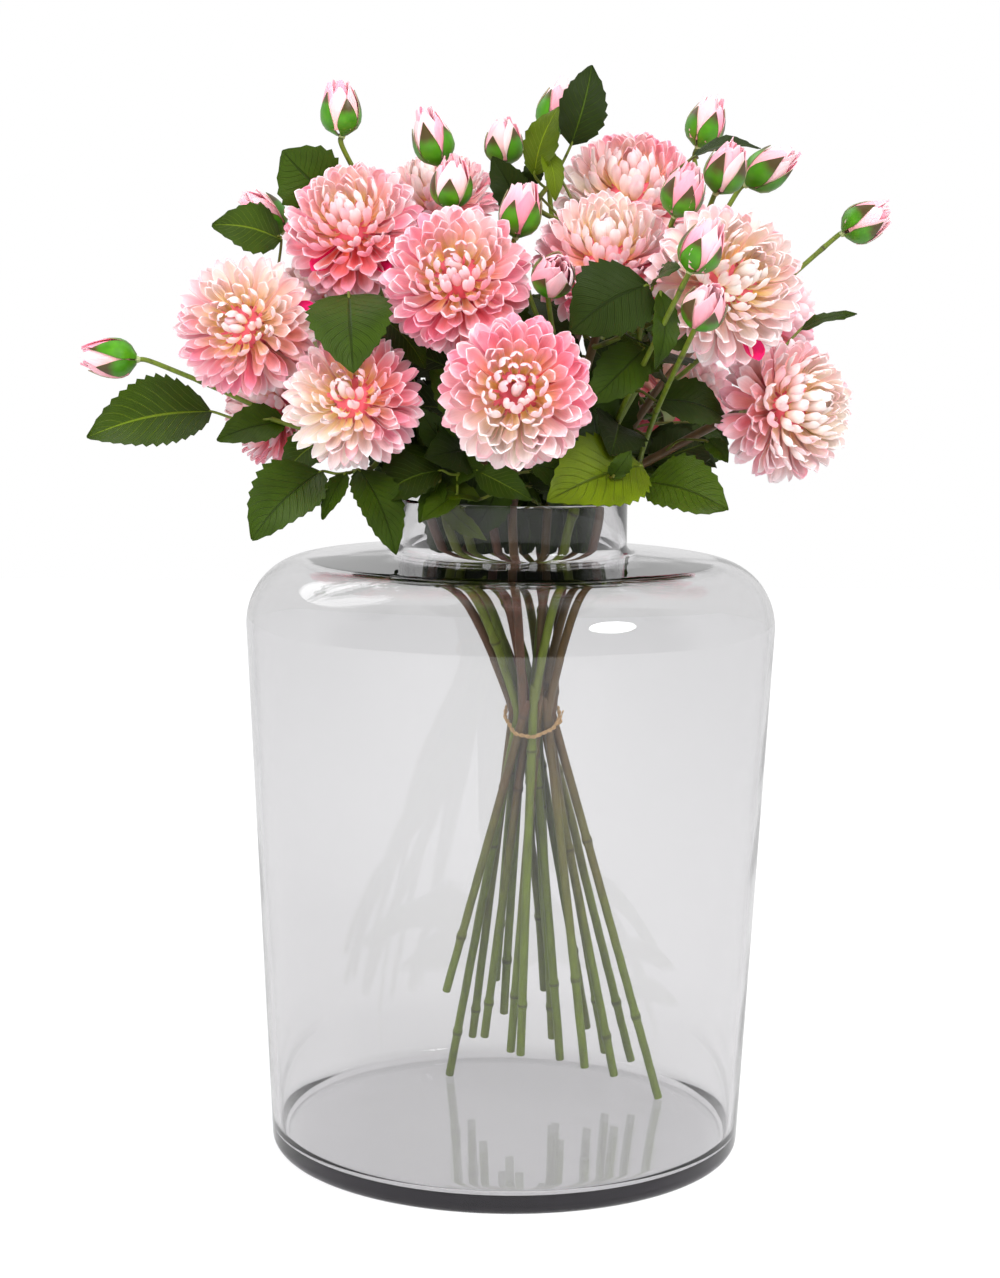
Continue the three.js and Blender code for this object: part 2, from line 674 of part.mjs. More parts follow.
// A leaflet: an arched blade with a shallow fold along its midrib.
function leafGeometry(leaf) {
  const { base, tip, width } = leaf;
  const face = leafFace(leaf);
  const side = vec(tip).sub(vec(base)).normalize().cross(face);
  const halfWidths = [0.06, 0.4, 0.5, 0.34, 0.03];
  const top = [];
  halfWidths.forEach((half, k) => {
    const t = k / (halfWidths.length - 1);
    const rib = midrib(leaf, t);
    for (const s of [-1, 0, 1]) {
      const lift = (s === 0 ? 0 : 0.12) * half * width;
      top.push(rib.clone().addScaledVector(side, s * half * width).addScaledVector(face, lift));
    }
  });
  const under = top.map((p) => p.clone().addScaledVector(face, -LEAF_THICKNESS));
  const points = [...top, ...under];
  const n = top.length;
  const index = [];
  const quad = (a, b, c, d) => index.push(a, b, c, a, c, d);
  for (let k = 0; k < halfWidths.length - 1; k++) {
    for (let s = 0; s < 2; s++) {
      const a = 3 * k + s;
      quad(a, a + 1, a + 4, a + 3);
      quad(n + a, n + a + 3, n + a + 4, n + a + 1);
    }
    quad(3 * k, 3 * k + 3, n + 3 * k + 3, n + 3 * k);
    quad(3 * k + 2, n + 3 * k + 2, n + 3 * k + 5, 3 * k + 5);
  }
  for (let s = 0; s < 2; s++) {
    quad(s, n + s, n + s + 1, s + 1);
    const e = n - 3 + s;
    quad(e, e + 1, n + e + 1, n + e);
  }
  const geometry = new THREE.BufferGeometry();
  geometry.setAttribute(
    "position",
    new THREE.Float32BufferAttribute(points.flatMap((p) => p.toArray()), 3),
  );
  geometry.setIndex(index);
  return geometry;
}

// A sprig: the leaf stalk from its stem, a short stalk to each leaflet, and the leaflets, less the
// room that its neighbours need.
function sprigSolid(sprig, upper, neighbours) {
  const { start, out } = socket(upper, sprig.share, vec(sprig.stalk[0]));
  const rachis = [start, start.clone().addScaledVector(out, STALK_ROOT), ...sprig.stalk.map(vec)];
  let solid = solidOf(tube(rachis, STALK_RADIUS, LEAF_STALK_SIDES));
  for (const leaf of sprig.leaves) {
    const base = vec(leaf.base);
    const nearest = rachis.slice(1).reduce((a, b) => (a.distanceTo(base) < b.distanceTo(base) ? a : b));
    const stalk = [nearest, base, midrib(leaf, LEAF_STALK_END)];
    solid = solid.add(solidOf(tube(stalk, LEAF_STALK_RADIUS, LEAF_STALK_SIDES)));
    solid = solid.add(solidOf(leafGeometry(leaf)));
  }
  for (const cutter of neighbours) solid = solid.subtract(cutter);
  const bodies = solid.decompose().sort((a, b) => b.volume() - a.volume());
  return bodies[0];
}

// ---------------------------------------------------------------- the tie

// How far the stems reach from the tie's centre in one direction, in the tie's tilted plane.
function reachAt(angle, routes) {
  const direction = new THREE.Vector2(Math.cos(angle), Math.sin(angle));
  let reach = 0;
  for (const route of routes) {
    for (let k = 0; k < route.lower.length - 1; k++) {
      const a = route.lower[k];
      const b = route.lower[k + 1];
      const plane = (p) => p.z - TIE_CENTRE.z - Math.tan(TIE_TILT) * (p.y - TIE_CENTRE.y);
      const [fa, fb] = [plane(a), plane(b)];
      if (fa > 0 || fb <= 0) continue;
      const p = a.clone().lerp(b, fa / (fa - fb));
      const flat = new THREE.Vector2(p.x - TIE_CENTRE.x, p.y - TIE_CENTRE.y);
      reach = Math.max(reach, flat.dot(direction));
    }
  }
  const slant = TIE_SLANT * (0.4 + 0.6 * Math.abs(direction.y));
  return reach + STEM_RADIUS + slant;
}

// The twine: a closed loop that hugs the bundle.
function tieGeometry(routes) {
  const steps = TIE_STEPS;
  const support = [];
  for (let i = 0; i < steps; i++) {
    support.push(reachAt((2 * Math.PI * i) / steps, routes));
  }
  const points = [];
  for (let i = 0; i < steps; i++) {
    const a = (2 * Math.PI * i) / steps;
    const change = support[(i + 1) % steps] - support[(i + steps - 1) % steps];
    const slope = change / ((4 * Math.PI) / steps);
    const r = support[i] + TOUCH_GAP + TIE_STRAND;
    const x = r * Math.cos(a) - slope * Math.sin(a);
    const y = r * Math.sin(a) + slope * Math.cos(a);
    points.push(new THREE.Vector3(x, y, Math.tan(TIE_TILT) * y).add(TIE_CENTRE));
  }
  const loop = new THREE.CatmullRomCurve3(points, true);
  return new THREE.TubeGeometry(loop, TIE_RINGS, TIE_STRAND, TIE_SIDES, true);
}

// ---------------------------------------------------------------- the object

function piece(group, name, geometry, look) {
  const mesh = new THREE.Mesh(geometry, new THREE.MeshStandardMaterial(look));
  mesh.name = name;
  group.add(mesh);
}

const twoDigits = (n) => String(n).padStart(2, "0");

function build() {
  const whole = new THREE.Group();
  const routes = allRoutes();
  piece(whole, "jar", lathe(jarProfile(), JAR_SIDES), GLASS);

  const bunch = new THREE.Group();
  whole.add(bunch);
  const cutters = [];
  routes.stems.forEach((route, i) => {
    const path = thinned([...route.lower, ...route.upper.slice(1)], STEM_TOLERANCE);
    piece(bunch, `stem_${twoDigits(i + 1)}`, tube(path, STEM_RADIUS, STEM_SIDES), STEM_SKIN);
    cutters.push(solidOf(tube(path, STEM_RADIUS + LEAF_OFF_STEM, STEM_SIDES)));
    piece(bunch, `bloom_${twoDigits(i + 1)}`, bloomGeometry(STEMS[i]), PETAL_CLOTH);
    cutters.push(solidOf(bloomGeometry({ ...STEMS[i], radius: STEMS[i].radius + LEAF_OFF_BLOOM })));
  });
  BUDS.forEach((bud, i) => {
    const geometry = budGeometry(bud, routes.stalks[i]);
    piece(bunch, `bud_${twoDigits(i + 1)}`, geometry, BUD_CLOTH);
    cutters.push(solidOf(geometry));
  });
  piece(bunch, "tie", tieGeometry(routes.stems), TWINE);
  for (const sprig of SPRIGS) {
    const solid = sprigSolid(sprig, routes.stems[sprig.stem - 1].upper, cutters);
    piece(bunch, sprig.name, geometryOf(solid), LEAF_CLOTH);
    cutters.push(solid);
  }
  return whole;
}

export default build();
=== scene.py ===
# %% [markdown]
# # Dahlias in a glass jar
#
# A tied bunch of cloth dahlias stands in a tall jar of clear blown glass. The bunch has eighteen blooms
# made of pressed cloth petals, buds on thin stalks, toothed leaves, moulded stems with joints, and a
# loop of twisted twine. The frame already holds a plain solid for every part. This lesson reads the
# places from those solids and builds the surfaces that a visitor would see.

import math

import bmesh
import bpy
import numpy as np
from mathutils import Matrix, Vector


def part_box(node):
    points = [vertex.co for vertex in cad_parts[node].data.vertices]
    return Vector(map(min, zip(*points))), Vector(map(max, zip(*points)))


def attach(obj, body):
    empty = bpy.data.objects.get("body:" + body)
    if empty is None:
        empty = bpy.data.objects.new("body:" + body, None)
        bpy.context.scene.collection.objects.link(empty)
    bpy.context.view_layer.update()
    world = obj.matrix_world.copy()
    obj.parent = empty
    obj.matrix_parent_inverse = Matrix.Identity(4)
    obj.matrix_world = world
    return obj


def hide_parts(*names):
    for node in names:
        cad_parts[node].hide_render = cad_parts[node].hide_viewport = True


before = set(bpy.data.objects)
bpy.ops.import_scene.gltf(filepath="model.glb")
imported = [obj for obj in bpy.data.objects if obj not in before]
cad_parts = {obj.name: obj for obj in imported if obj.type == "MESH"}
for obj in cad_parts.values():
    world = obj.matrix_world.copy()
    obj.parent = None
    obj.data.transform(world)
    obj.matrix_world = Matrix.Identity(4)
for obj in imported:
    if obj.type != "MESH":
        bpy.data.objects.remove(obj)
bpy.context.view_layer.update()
MM = 0.001

# %% [markdown]
# ## The camera
#
# The lens, the distance and the small roll of the camera belong to the view that this scene is made
# to match. The camera's axes are built from those few values, so no rotation has to be typed.

# %% Camera
CAMERA_PLACE = Vector((-0.00714, -1.72316, 0.58019))
CAMERA_PITCH = math.radians(7.556)  # it looks down by this much
CAMERA_ROLL = math.radians(0.6787)
CAMERA_LENS = 71.51  # mm, on a sensor of 36 mm

look = Vector((0, math.cos(CAMERA_PITCH), -math.sin(CAMERA_PITCH)))
level_up = Vector((0, math.sin(CAMERA_PITCH), math.cos(CAMERA_PITCH)))
right = math.cos(CAMERA_ROLL) * Vector((1, 0, 0)) + math.sin(CAMERA_ROLL) * level_up
up = right.cross(look)
camera_data = bpy.data.cameras.new("camera")
camera_data.lens = CAMERA_LENS
camera_data.sensor_width = 36
camera = bpy.data.objects.new("camera", camera_data)
camera.matrix_world = Matrix.LocRotScale(
    CAMERA_PLACE, Matrix((right, up, -look)).transposed().to_quaternion(), None
)
bpy.context.collection.objects.link(camera)
bpy.context.scene.camera = camera
bpy.context.scene.view_settings.view_transform = "Standard"
print("camera at", tuple(camera.location))

# %% [markdown]
# ## Small helpers
#
# Colours are given as sRGB hex values, but shaders work with linear light, so one function
# turns one into the other. Another adds a node with its settings and its links, which keeps every
# material and every Geometry Nodes tree in this file short and readable. A dyed or printed surface is a
# stack of colours, each covering a share of the one below, and `coats` lays such a stack.

# %% Colours and nodes
def srgb(code):
    """A hex colour as linear red, green, blue and alpha."""
    parts = [int(code[i : i + 2], 16) / 255 for i in (1, 3, 5)]
    return [p / 12.92 if p <= 0.04045 else ((p + 0.055) / 1.055) ** 2.4 for p in parts] + [1]


def add(tree, kind, inputs=None, **settings):
    """Adds a node. An input, by its name or number, takes a value, a socket or another node."""
    node = tree.nodes.new(kind)
    for name, value in settings.items():
        setattr(node, name, value)
    for key, value in (inputs or {}).items():
        if isinstance(value, bpy.types.Node):
            value = next(socket for socket in value.outputs if socket.enabled)
        if isinstance(value, bpy.types.NodeSocket):
            tree.links.new(value, node.inputs[key])
        else:
            node.inputs[key].default_value = value
    return node


def new_material(name):
    """An empty material with its Principled shader linked to the output."""
    material = bpy.data.materials.new(name)
    material.use_nodes = True
    tree = material.node_tree
    tree.nodes.clear()
    shader = add(tree, "ShaderNodeBsdfPrincipled")
    add(tree, "ShaderNodeOutputMaterial", {"Surface": shader})
    return material, tree, shader


def coats(tree, colour, *layers):
    """Lays dyes over a first colour. Each layer is the share that it covers and its colour."""
    colour = srgb(colour) if isinstance(colour, str) else colour
    for share, dye in layers:
        dye = srgb(dye) if isinstance(dye, str) else dye
        colour = add(tree, "ShaderNodeMix", {0: share, 6: colour, 7: dye}, data_type="RGBA").outputs[2]
    return colour


SMOOTH = {"interpolation_type": "SMOOTHSTEP"}  # how a Map Range node eases in and out
print("white in linear light is", srgb("#FFFFFF"))

# %% [markdown]
# ## Geometry Nodes in two steps
#
# A tree is declared once with named inputs. It is then run for each stem or bloom on a carrier object,
# and the result is kept as a plain mesh, because the exported model has no modifiers or instances.

# %% Making and running a tree
def new_tree(name, inputs):
    """A geometry tree with named inputs, given as {name: (socket type, value)}."""
    tree = bpy.data.node_groups.new(name, "GeometryNodeTree")
    for label, (kind, value) in inputs.items():
        socket = tree.interface.new_socket(label, in_out="INPUT", socket_type="NodeSocket" + kind)
        if value is not None:
            socket.default_value = value
    tree.interface.new_socket("Geometry", in_out="OUTPUT", socket_type="NodeSocketGeometry")
    return tree, tree.nodes.new("NodeGroupInput").outputs, tree.nodes.new("NodeGroupOutput")


def run_tree(tree, start, **values):
    """Runs the tree on a mesh and gives the result as a new mesh. A space in an input's name is _."""
    carrier = bpy.data.objects.new("carrier", start)
    bpy.context.collection.objects.link(carrier)
    modifier = carrier.modifiers.new(tree.name, "NODES")
    modifier.node_group = tree
    for item in tree.interface.items_tree:
        key = item.name.replace(" ", "_").lower()
        if item.in_out == "INPUT" and key in values:
            modifier[item.identifier] = values[key]
    graph = bpy.context.evaluated_depsgraph_get()
    mesh = bpy.data.meshes.new_from_object(carrier.evaluated_get(graph), depsgraph=graph)
    bpy.data.objects.remove(carrier)
    return mesh


def polyline(points):
    """A mesh of edges from point to point, for a tree to turn into a curve."""
    mesh = bpy.data.meshes.new("polyline")
    mesh.from_pydata([tuple(p) for p in points], [(i, i + 1) for i in range(len(points) - 1)], [])
    return mesh


# %% [markdown]
# ## Closed skins
#
# Petals, sepals and leaves are all thin cloth. Each is drawn as a grid of points, and `Skins` gives the
# grid its thickness: an upper side, a lower side and a rim between them. So every blade is a closed
# solid. The place of each point along and across the blade is kept as attributes for the materials.

# %% Skins
class Skins:
    """Collects closed skins, with their attributes and material numbers, for one mesh."""

    def __init__(self):
        self.points, self.faces, self.numbers, self.values = [], [], [], []

    def add(self, grid, thickness, number=0, matrix=None, **values):
        """Adds the skin of a grid shaped (rows, columns, 3). Its upper side faces rows x columns."""
        rows, columns = grid.shape[:2]
        if matrix is not None:
            turn = np.array(matrix.to_3x3())
            grid = grid @ turn.T + np.array(matrix.translation)
        normal = np.cross(np.gradient(grid, axis=0), np.gradient(grid, axis=1))
        normal /= np.linalg.norm(normal, axis=2, keepdims=True) + 1e-12
        first = sum(len(p) for p in self.points)
        upper, lower = grid + normal * thickness / 2, grid - normal * thickness / 2
        self.points += [upper.reshape(-1, 3), lower.reshape(-1, 3)]
        fields = {name: np.broadcast_to(value, (rows, columns)).ravel() for name, value in values.items()}
        fields = {name: np.concatenate([field, field]) for name, field in fields.items()}
        fields["side"] = np.repeat([1.0, 0.0], rows * columns)
        self.values.append(fields)
        index = first + np.arange(rows * columns).reshape(rows, columns)
        below = rows * columns
        made = []
        for r in range(rows - 1):
            for c in range(columns - 1):
                a, b, d, e = index[r, c], index[r + 1, c], index[r + 1, c + 1], index[r, c + 1]
                made.append((a, b, d, e))
                made.append((e + below, d + below, b + below, a + below))
        border = [*index[:, 0], *index[-1, 1:], *index[-2::-1, -1], *index[0, -2:0:-1]]
        for a, b in zip(border, border[1:] + border[:1]):
            made.append((b, a, a + below, b + below))
        self.faces += made
        self.numbers += [number] * len(made)

    def mesh(self, name, sharp=50):
        """The skins as one mesh, smooth except at edges sharper than an angle in degrees."""
        mesh = bpy.data.meshes.new(name)
        mesh.from_pydata(np.concatenate(self.points).tolist(), [], [[int(i) for i in f] for f in self.faces])
        for label in sorted(set().union(*self.values)):
            data = np.concatenate([fields.get(label, fields["side"] * 0) for fields in self.values])
            layer = mesh.attributes.new(label, "FLOAT", "POINT")
            layer.data.foreach_set("value", data.astype(np.float32))
        mesh.polygons.foreach_set("material_index", self.numbers)
        smooth(mesh, sharp)
        return mesh


def smooth(mesh, sharp=50):
    """Shades a mesh smooth, with its sharp edges kept."""
    mesh.polygons.foreach_set("use_smooth", [True] * len(mesh.polygons))
    mesh.set_sharp_from_angle(angle=math.radians(sharp))
    mesh.update()


def ramp(x, low, high):
    """Goes smoothly from 0 at low to 1 at high."""
    t = np.clip((np.asarray(x, float) - low) / (high - low), 0, 1)
    return t * t * (3 - 2 * t)


# %% [markdown]
# ## Pieces
#
# A finished mesh becomes a piece that rides on the frame's one body. It takes the place of the solids
# it names, which are hidden.

# %% Making a piece
def piece(name, meshes, materials, slot, *nodes):
    """One object from one or more meshes, in place of the nodes it names."""
    parts = []
    for mesh, material in zip(meshes, materials):
        mesh.materials.clear()
        for one in material if isinstance(material, list) else [material]:
            mesh.materials.append(one)
        part = bpy.data.objects.new(name, mesh)
        bpy.context.collection.objects.link(part)
        parts.append(part)
    if len(parts) > 1:
        with bpy.context.temp_override(
            active_object=parts[0], object=parts[0], selected_objects=parts, selected_editable_objects=parts
        ):
            bpy.ops.object.join()
    made = parts[0]
    made.name = name
    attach(made, "root")
    if nodes:
        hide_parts(*nodes)
    return made


def triangles(thing):
    """How many triangles a mesh object has."""
    return sum(len(p.vertices) - 2 for p in thing.data.polygons)


# %% [markdown]
# ## Reading routes and blooms from the frame
#
# Every stem in the frame is a plain rod with rings of corners along it. Walking from one ring to the
# next over the mesh gives back the line that the rod follows. A bloom's solid is round about one axis,
# and the only two corners where ten edges meet are the ends of that axis.

# %% Reading the frame
ROD_SIDES = 6
BUD_SIDES = 7
BLOOM_SIDES = 10
BLOOM_BACK = 0.72  # from a bloom's middle to the back of its calyx, as a share of its radius
BLOOM_FRONT = 0.82


def merged(node):
    """A copy of a node's mesh with its doubled corners merged."""
    copy = bmesh.new()
    copy.from_mesh(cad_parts[node].data)
    bmesh.ops.remove_doubles(copy, verts=copy.verts, dist=1e-5)
    return copy


def ring_line(node, sides, near=None):
    """The middles of a rod's rings, from its lowest end or from the end near a point."""
    mesh = merged(node)
    far = (lambda v: v.co.z) if near is None else (lambda v: (v.co - near).length)
    ring = set(sorted(mesh.verts, key=far)[:sides])
    seen, middles = set(), []
    while ring:
        corners = sorted(v.co[:] for v in ring)  # in one order, so that each run adds them up alike
        middles.append(sum(map(Vector, corners), Vector()) / len(corners))
        seen |= ring
        ring = {edge.other_vert(v) for v in ring for edge in v.link_edges} - seen
    mesh.free()
    return middles


def bloom_place(node):
    """A bloom's middle, the way it faces and its radius."""
    mesh = merged(node)
    ends = [v for v in mesh.verts if len(v.link_edges) == BLOOM_SIDES]
    span = [sum(e.calc_length() for e in v.link_edges) for v in ends]
    front = ends[span.index(max(span))].co.copy()
    back = ends[span.index(min(span))].co.copy()
    mesh.free()
    facing = (front - back).normalized()
    radius = (front - back).length / (BLOOM_BACK + BLOOM_FRONT)
    return back + facing * BLOOM_BACK * radius, facing, radius


STEM_NAMES = sorted(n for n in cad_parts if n.startswith("stem_"))
stem_lines = {name: ring_line(name, ROD_SIDES) for name in STEM_NAMES}
bloom_places = {n: bloom_place(n) for n in sorted(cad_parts) if n.startswith("bloom_")}
print(len(stem_lines), "stems, the first with", len(stem_lines["stem_01"]), "rings")
print("bloom_01 is at", bloom_places["bloom_01"][0], "with radius", bloom_places["bloom_01"][2])

# %% [markdown]
# ## The studio
#
# The jar stands on a pale floor in a white studio. A direct look at the floor or the backdrop meets plain
# white, while a look through the glass meets them dimmer: so clear glass reads as grey against white.
# The front of the studio, behind the viewer, is dim, and what the glass mirrors of it stays faint.
# A wide sun lights the floor evenly. The floor also glows a little, so shadows on it are soft. The three
# lamps that light the bunch are hidden from glossy rays. Two glints do the opposite: they light nothing,
# and only show as soft ovals in the glass and as sheen on the leaves.

# %% Floor, backdrop and lights
FLOOR_SIZE = 7.0
FLOOR_GAP = 0.4 * MM  # the air under the jar, so that light is reflected inside its foot
FLOOR_GLOW = 0.39
FLOOR_LIFT = 0.26  # what a direct look at the floor adds to its brightness
BACKDROP_LEVEL = 0.8
FRONT_LEVEL = 0.1

floor_mesh = bpy.data.meshes.new("floor")
far = FLOOR_SIZE / 2
floor_corners = [(x, y, -FLOOR_GAP) for x, y in ((-far, -far), (far, -far), (far, far), (-far, far))]
floor_mesh.from_pydata(floor_corners, [], [(0, 1, 2, 3)])
floor = bpy.data.objects.new("floor", floor_mesh)
bpy.context.collection.objects.link(floor)
floor_paint, floor_tree, floor_shader = new_material("pale_painted_floor")
floor_shader.inputs["Base Color"].default_value = srgb("#A4A4A5")
floor_shader.inputs["Roughness"].default_value = 0.9
floor_shader.inputs["Specular IOR Level"].default_value = 0.1
floor_shader.inputs["Emission Color"].default_value = srgb("#FFFFFF")
direct = add(floor_tree, "ShaderNodeLightPath").outputs["Is Camera Ray"]
lift = add(floor_tree, "ShaderNodeMath", {0: direct, 1: FLOOR_LIFT, 2: FLOOR_GLOW}, operation="MULTIPLY_ADD")
floor_tree.links.new(lift.outputs[0], floor_shader.inputs["Emission Strength"])
floor_mesh.materials.append(floor_paint)

world = bpy.data.worlds.new("studio")
world.use_nodes = True
sky = world.node_tree
sky.nodes.clear()
path = add(sky, "ShaderNodeLightPath")
by_glass = {0: path.outputs["Is Glossy Ray"], 1: path.outputs["Is Transmission Ray"]}
mirrored = add(sky, "ShaderNodeMath", by_glass, operation="MAXIMUM")
towards = add(sky, "ShaderNodeTexCoord").outputs["Generated"]
depth = add(sky, "ShaderNodeSeparateXYZ", {0: towards}).outputs["Y"]
ahead = add(sky, "ShaderNodeMapRange", {"Value": depth, "From Min": 0.1, "From Max": -0.4}, **SMOOTH)
dimmed = add(sky, "ShaderNodeMath", {0: mirrored, 1: ahead}, operation="MULTIPLY")
studio = add(sky, "ShaderNodeMix", {0: dimmed, 2: BACKDROP_LEVEL, 3: FRONT_LEVEL}, data_type="FLOAT")
level = add(sky, "ShaderNodeMix", {0: path.outputs["Is Camera Ray"], 2: studio, 3: 1.0}, data_type="FLOAT")
backdrop = add(sky, "ShaderNodeBackground", {"Color": srgb("#FFFFFF"), "Strength": level})
add(sky, "ShaderNodeOutputWorld", {"Surface": backdrop})
bpy.context.scene.world = world


def lamp(name, kind, place, target, power, glint=False, **settings):
    """A lamp that looks at a point. The settings are the lamp's own size, shape or angle."""
    data = bpy.data.lights.new(name, kind)
    data.energy = power
    for setting, value in settings.items():
        setattr(data, setting, value)
    made = bpy.data.objects.new(name, data)
    made.location = place
    made.rotation_mode = "QUATERNION"
    made.rotation_quaternion = (Vector(place) - Vector(target)).to_track_quat("Z", "Y")
    made.visible_glossy = glint
    made.visible_transmission = glint
    made.visible_diffuse = not glint
    bpy.context.collection.objects.link(made)


SHOULDER_MIDDLE = (0, 0, 0.36)

lamp("key", "AREA", (0.7, -1.9, 2.2), (0, 0, 0.5), 50, shape="DISK", size=1.6)
lamp("fill", "AREA", (-1.6, -2.2, 1.2), (0, 0, 0.6), 40, shape="SQUARE", size=1.4)
lamp("sun", "SUN", (1.6, -0.9, 2.6), (0, 0, 0), 1.3, angle=math.radians(70))
for name, place, power, wide, high in (
    ("oval_glint", (1.47, -1.35, 1.66), 20, 0.8, 0.66),
    ("left_glint", (-1.87, 1.17, 2.7), 24, 2.6, 2.0),
):
    lamp(name, "AREA", place, SHOULDER_MIDDLE, power, glint=True, shape="ELLIPSE", size=wide, size_y=high)
print("floor", FLOOR_SIZE, "m wide, five lamps")

# %% [markdown]
# ## The glass of the jar
#
# Blown soda-lime glass has an index of refraction near 1.5 and a polished skin with no roughness. Its
# skin is not quite even, which bends the reflections a little. The glass itself swallows some light on
# its way. So a wall of a few millimetres is clear with a touch of grey, and the thick foot, where the
# eye looks through the whole slab edge on, is dark grey. Light has to reach the stems inside, so a
# shadow ray passes straight through.

# %% Blown glass
GLASS_ABSORBED = (0.5, 0.525, 0.485)  # the share of red, green and blue taken, before the density
GLASS_DENSITY = 24.0  # per metre


def blown_glass():
    """Clear glass that takes a little light for each millimetre."""
    material, tree, shader = new_material("blown_soda_lime_glass")
    shader.inputs["Base Color"].default_value = srgb("#FAFAFA")
    shader.inputs["Roughness"].default_value = 0.0
    shader.inputs["IOR"].default_value = 1.5
    shader.inputs["Transmission Weight"].default_value = 1.0
    place = add(tree, "ShaderNodeTexCoord").outputs["Object"]
    waves = add(tree, "ShaderNodeTexNoise", {"Vector": place, "Scale": 16.0, "Detail": 1.0})
    bump = add(tree, "ShaderNodeBump", {"Height": waves, "Strength": 0.07, "Distance": 3 * MM})
    tree.links.new(bump.outputs[0], shader.inputs["Normal"])
    clear = add(tree, "ShaderNodeBsdfTransparent", {"Color": srgb("#FDFDFD")})
    ray = add(tree, "ShaderNodeLightPath")
    mixed = add(tree, "ShaderNodeMixShader", {0: ray.outputs["Is Shadow Ray"], 1: shader, 2: clear})
    let_through = [1 - share for share in GLASS_ABSORBED] + [1]
    inside = add(tree, "ShaderNodeVolumeAbsorption", {"Color": let_through, "Density": GLASS_DENSITY})
    output = next(n for n in tree.nodes if n.type == "OUTPUT_MATERIAL")
    tree.links.new(mixed.outputs[0], output.inputs["Surface"])
    tree.links.new(inside.outputs[0], output.inputs["Volume"])
    return material


glass = blown_glass()
print("glass ready:", glass.name)

# %% [markdown]
# ## The jar
#
# The jar is turned from one section line: a flat foot with a rounded edge, a wall that widens slightly
# up to an elliptical shoulder, a short fillet and a straight neck with a fire-polished lip. A lathe
# function turns the line round the axis, because every point of blown glass follows its rotation.

# %% Section and lathe
def arc(centre, a, b, start, end, steps):
    """Points on an ellipse about a centre, from one angle in degrees to another."""
    angles = np.radians(np.linspace(start, end, steps + 1))
    return [(centre[0] + a * math.cos(t), centre[1] + b * math.sin(t)) for t in angles]


def lathe(profile, sides, name):
    """Turns a section of (radius, height) points about Z. It starts and ends on the axis."""
    body = profile[1:-1]
    turns = np.arange(sides) * 2 * math.pi / sides
    rings = [(r * math.cos(t), r * math.sin(t), z) for r, z in body for t in turns]
    points = [(0, 0, profile[0][1]), *rings, (0, 0, profile[-1][1])]
    faces = []
    for j in range(sides):
        k = (j + 1) % sides
        faces.append((0, 1 + k, 1 + j))
        for i in range(len(body) - 1):
            a, b = 1 + i * sides, 1 + (i + 1) * sides
            faces.append((a + j, a + k, b + k, b + j))
        last = 1 + (len(body) - 1) * sides
        faces.append((last + j, last + k, len(points) - 1))
    mesh = bpy.data.meshes.new(name)
    mesh.from_pydata(points, [], faces)
    smooth(mesh)
    return mesh


JAR_FOOT_RADIUS = 155 * MM
JAR_BASE_RADIUS = 162 * MM
JAR_BASE_EDGE = 8 * MM
JAR_BODY_TOP = 363 * MM
JAR_SHOULDER = (42 * MM, 45 * MM)  # its width and its rise
JAR_NECK_RADIUS = 78.4 * MM
JAR_NECK_FOOT = 413 * MM
JAR_FILLET = 6 * MM
JAR_THICKER = 2.4 * MM  # the wall's extra thickness at the foot of the neck, which mirrors the leaves
JAR_WALL = 4.4 * MM
JAR_FLOOR = 11 * MM
JAR_FLOOR_CORNER = 10 * MM
JAR_SIDES = 180

jar_low, jar_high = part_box("jar")
body_radius, jar_height = jar_high.x, jar_high.z
shoulder = (body_radius - JAR_SHOULDER[0], JAR_BODY_TOP)
fillet = (JAR_NECK_RADIUS + JAR_FILLET, JAR_NECK_FOOT + JAR_FILLET)
lip = (JAR_NECK_RADIUS - JAR_WALL / 2, jar_height - JAR_WALL / 2)
inner_fillet = JAR_FILLET + JAR_WALL
corner = (JAR_BASE_RADIUS - JAR_WALL - JAR_FLOOR_CORNER, JAR_FLOOR + JAR_FLOOR_CORNER)
jar_section = [
    (0, 0),
    *arc((JAR_FOOT_RADIUS, JAR_BASE_EDGE), JAR_BASE_RADIUS - JAR_FOOT_RADIUS, JAR_BASE_EDGE, -90, 0, 8),
    *arc(shoulder, *JAR_SHOULDER, 0, 90, 24),
    *arc(fillet, -JAR_FILLET, -JAR_FILLET, 90, 0, 8),
    *arc(lip, JAR_WALL / 2, JAR_WALL / 2, 0, 180, 8),
    *arc(fillet, -inner_fillet, -inner_fillet - JAR_THICKER, 0, 90, 8),
    *arc(shoulder, JAR_SHOULDER[0] - JAR_WALL, JAR_SHOULDER[1] - JAR_WALL, 90, 0, 24),
    *arc(corner, JAR_FLOOR_CORNER, JAR_FLOOR_CORNER, 0, -90, 8),
    (0, JAR_FLOOR),
]
jar = piece("jar_glass", [lathe(jar_section, JAR_SIDES, "jar")], [glass], "jar_glass", "jar")
print("jar has", triangles(jar), "triangles")

# %% [markdown]
# ## Stem skin
#
# The stems are moulded polyethylene over wire, with a satin skin, darker flecks drawn out along the stem,
# and a thin dark ring at each joint. They are green, and some are dyed purple brown. That dye fades out
# towards the cut feet.

# %% Moulded stem skin
BROWN_FROM = 0.1  # metres above the floor: no stem is brown below this height
BROWN_FULL = 0.3


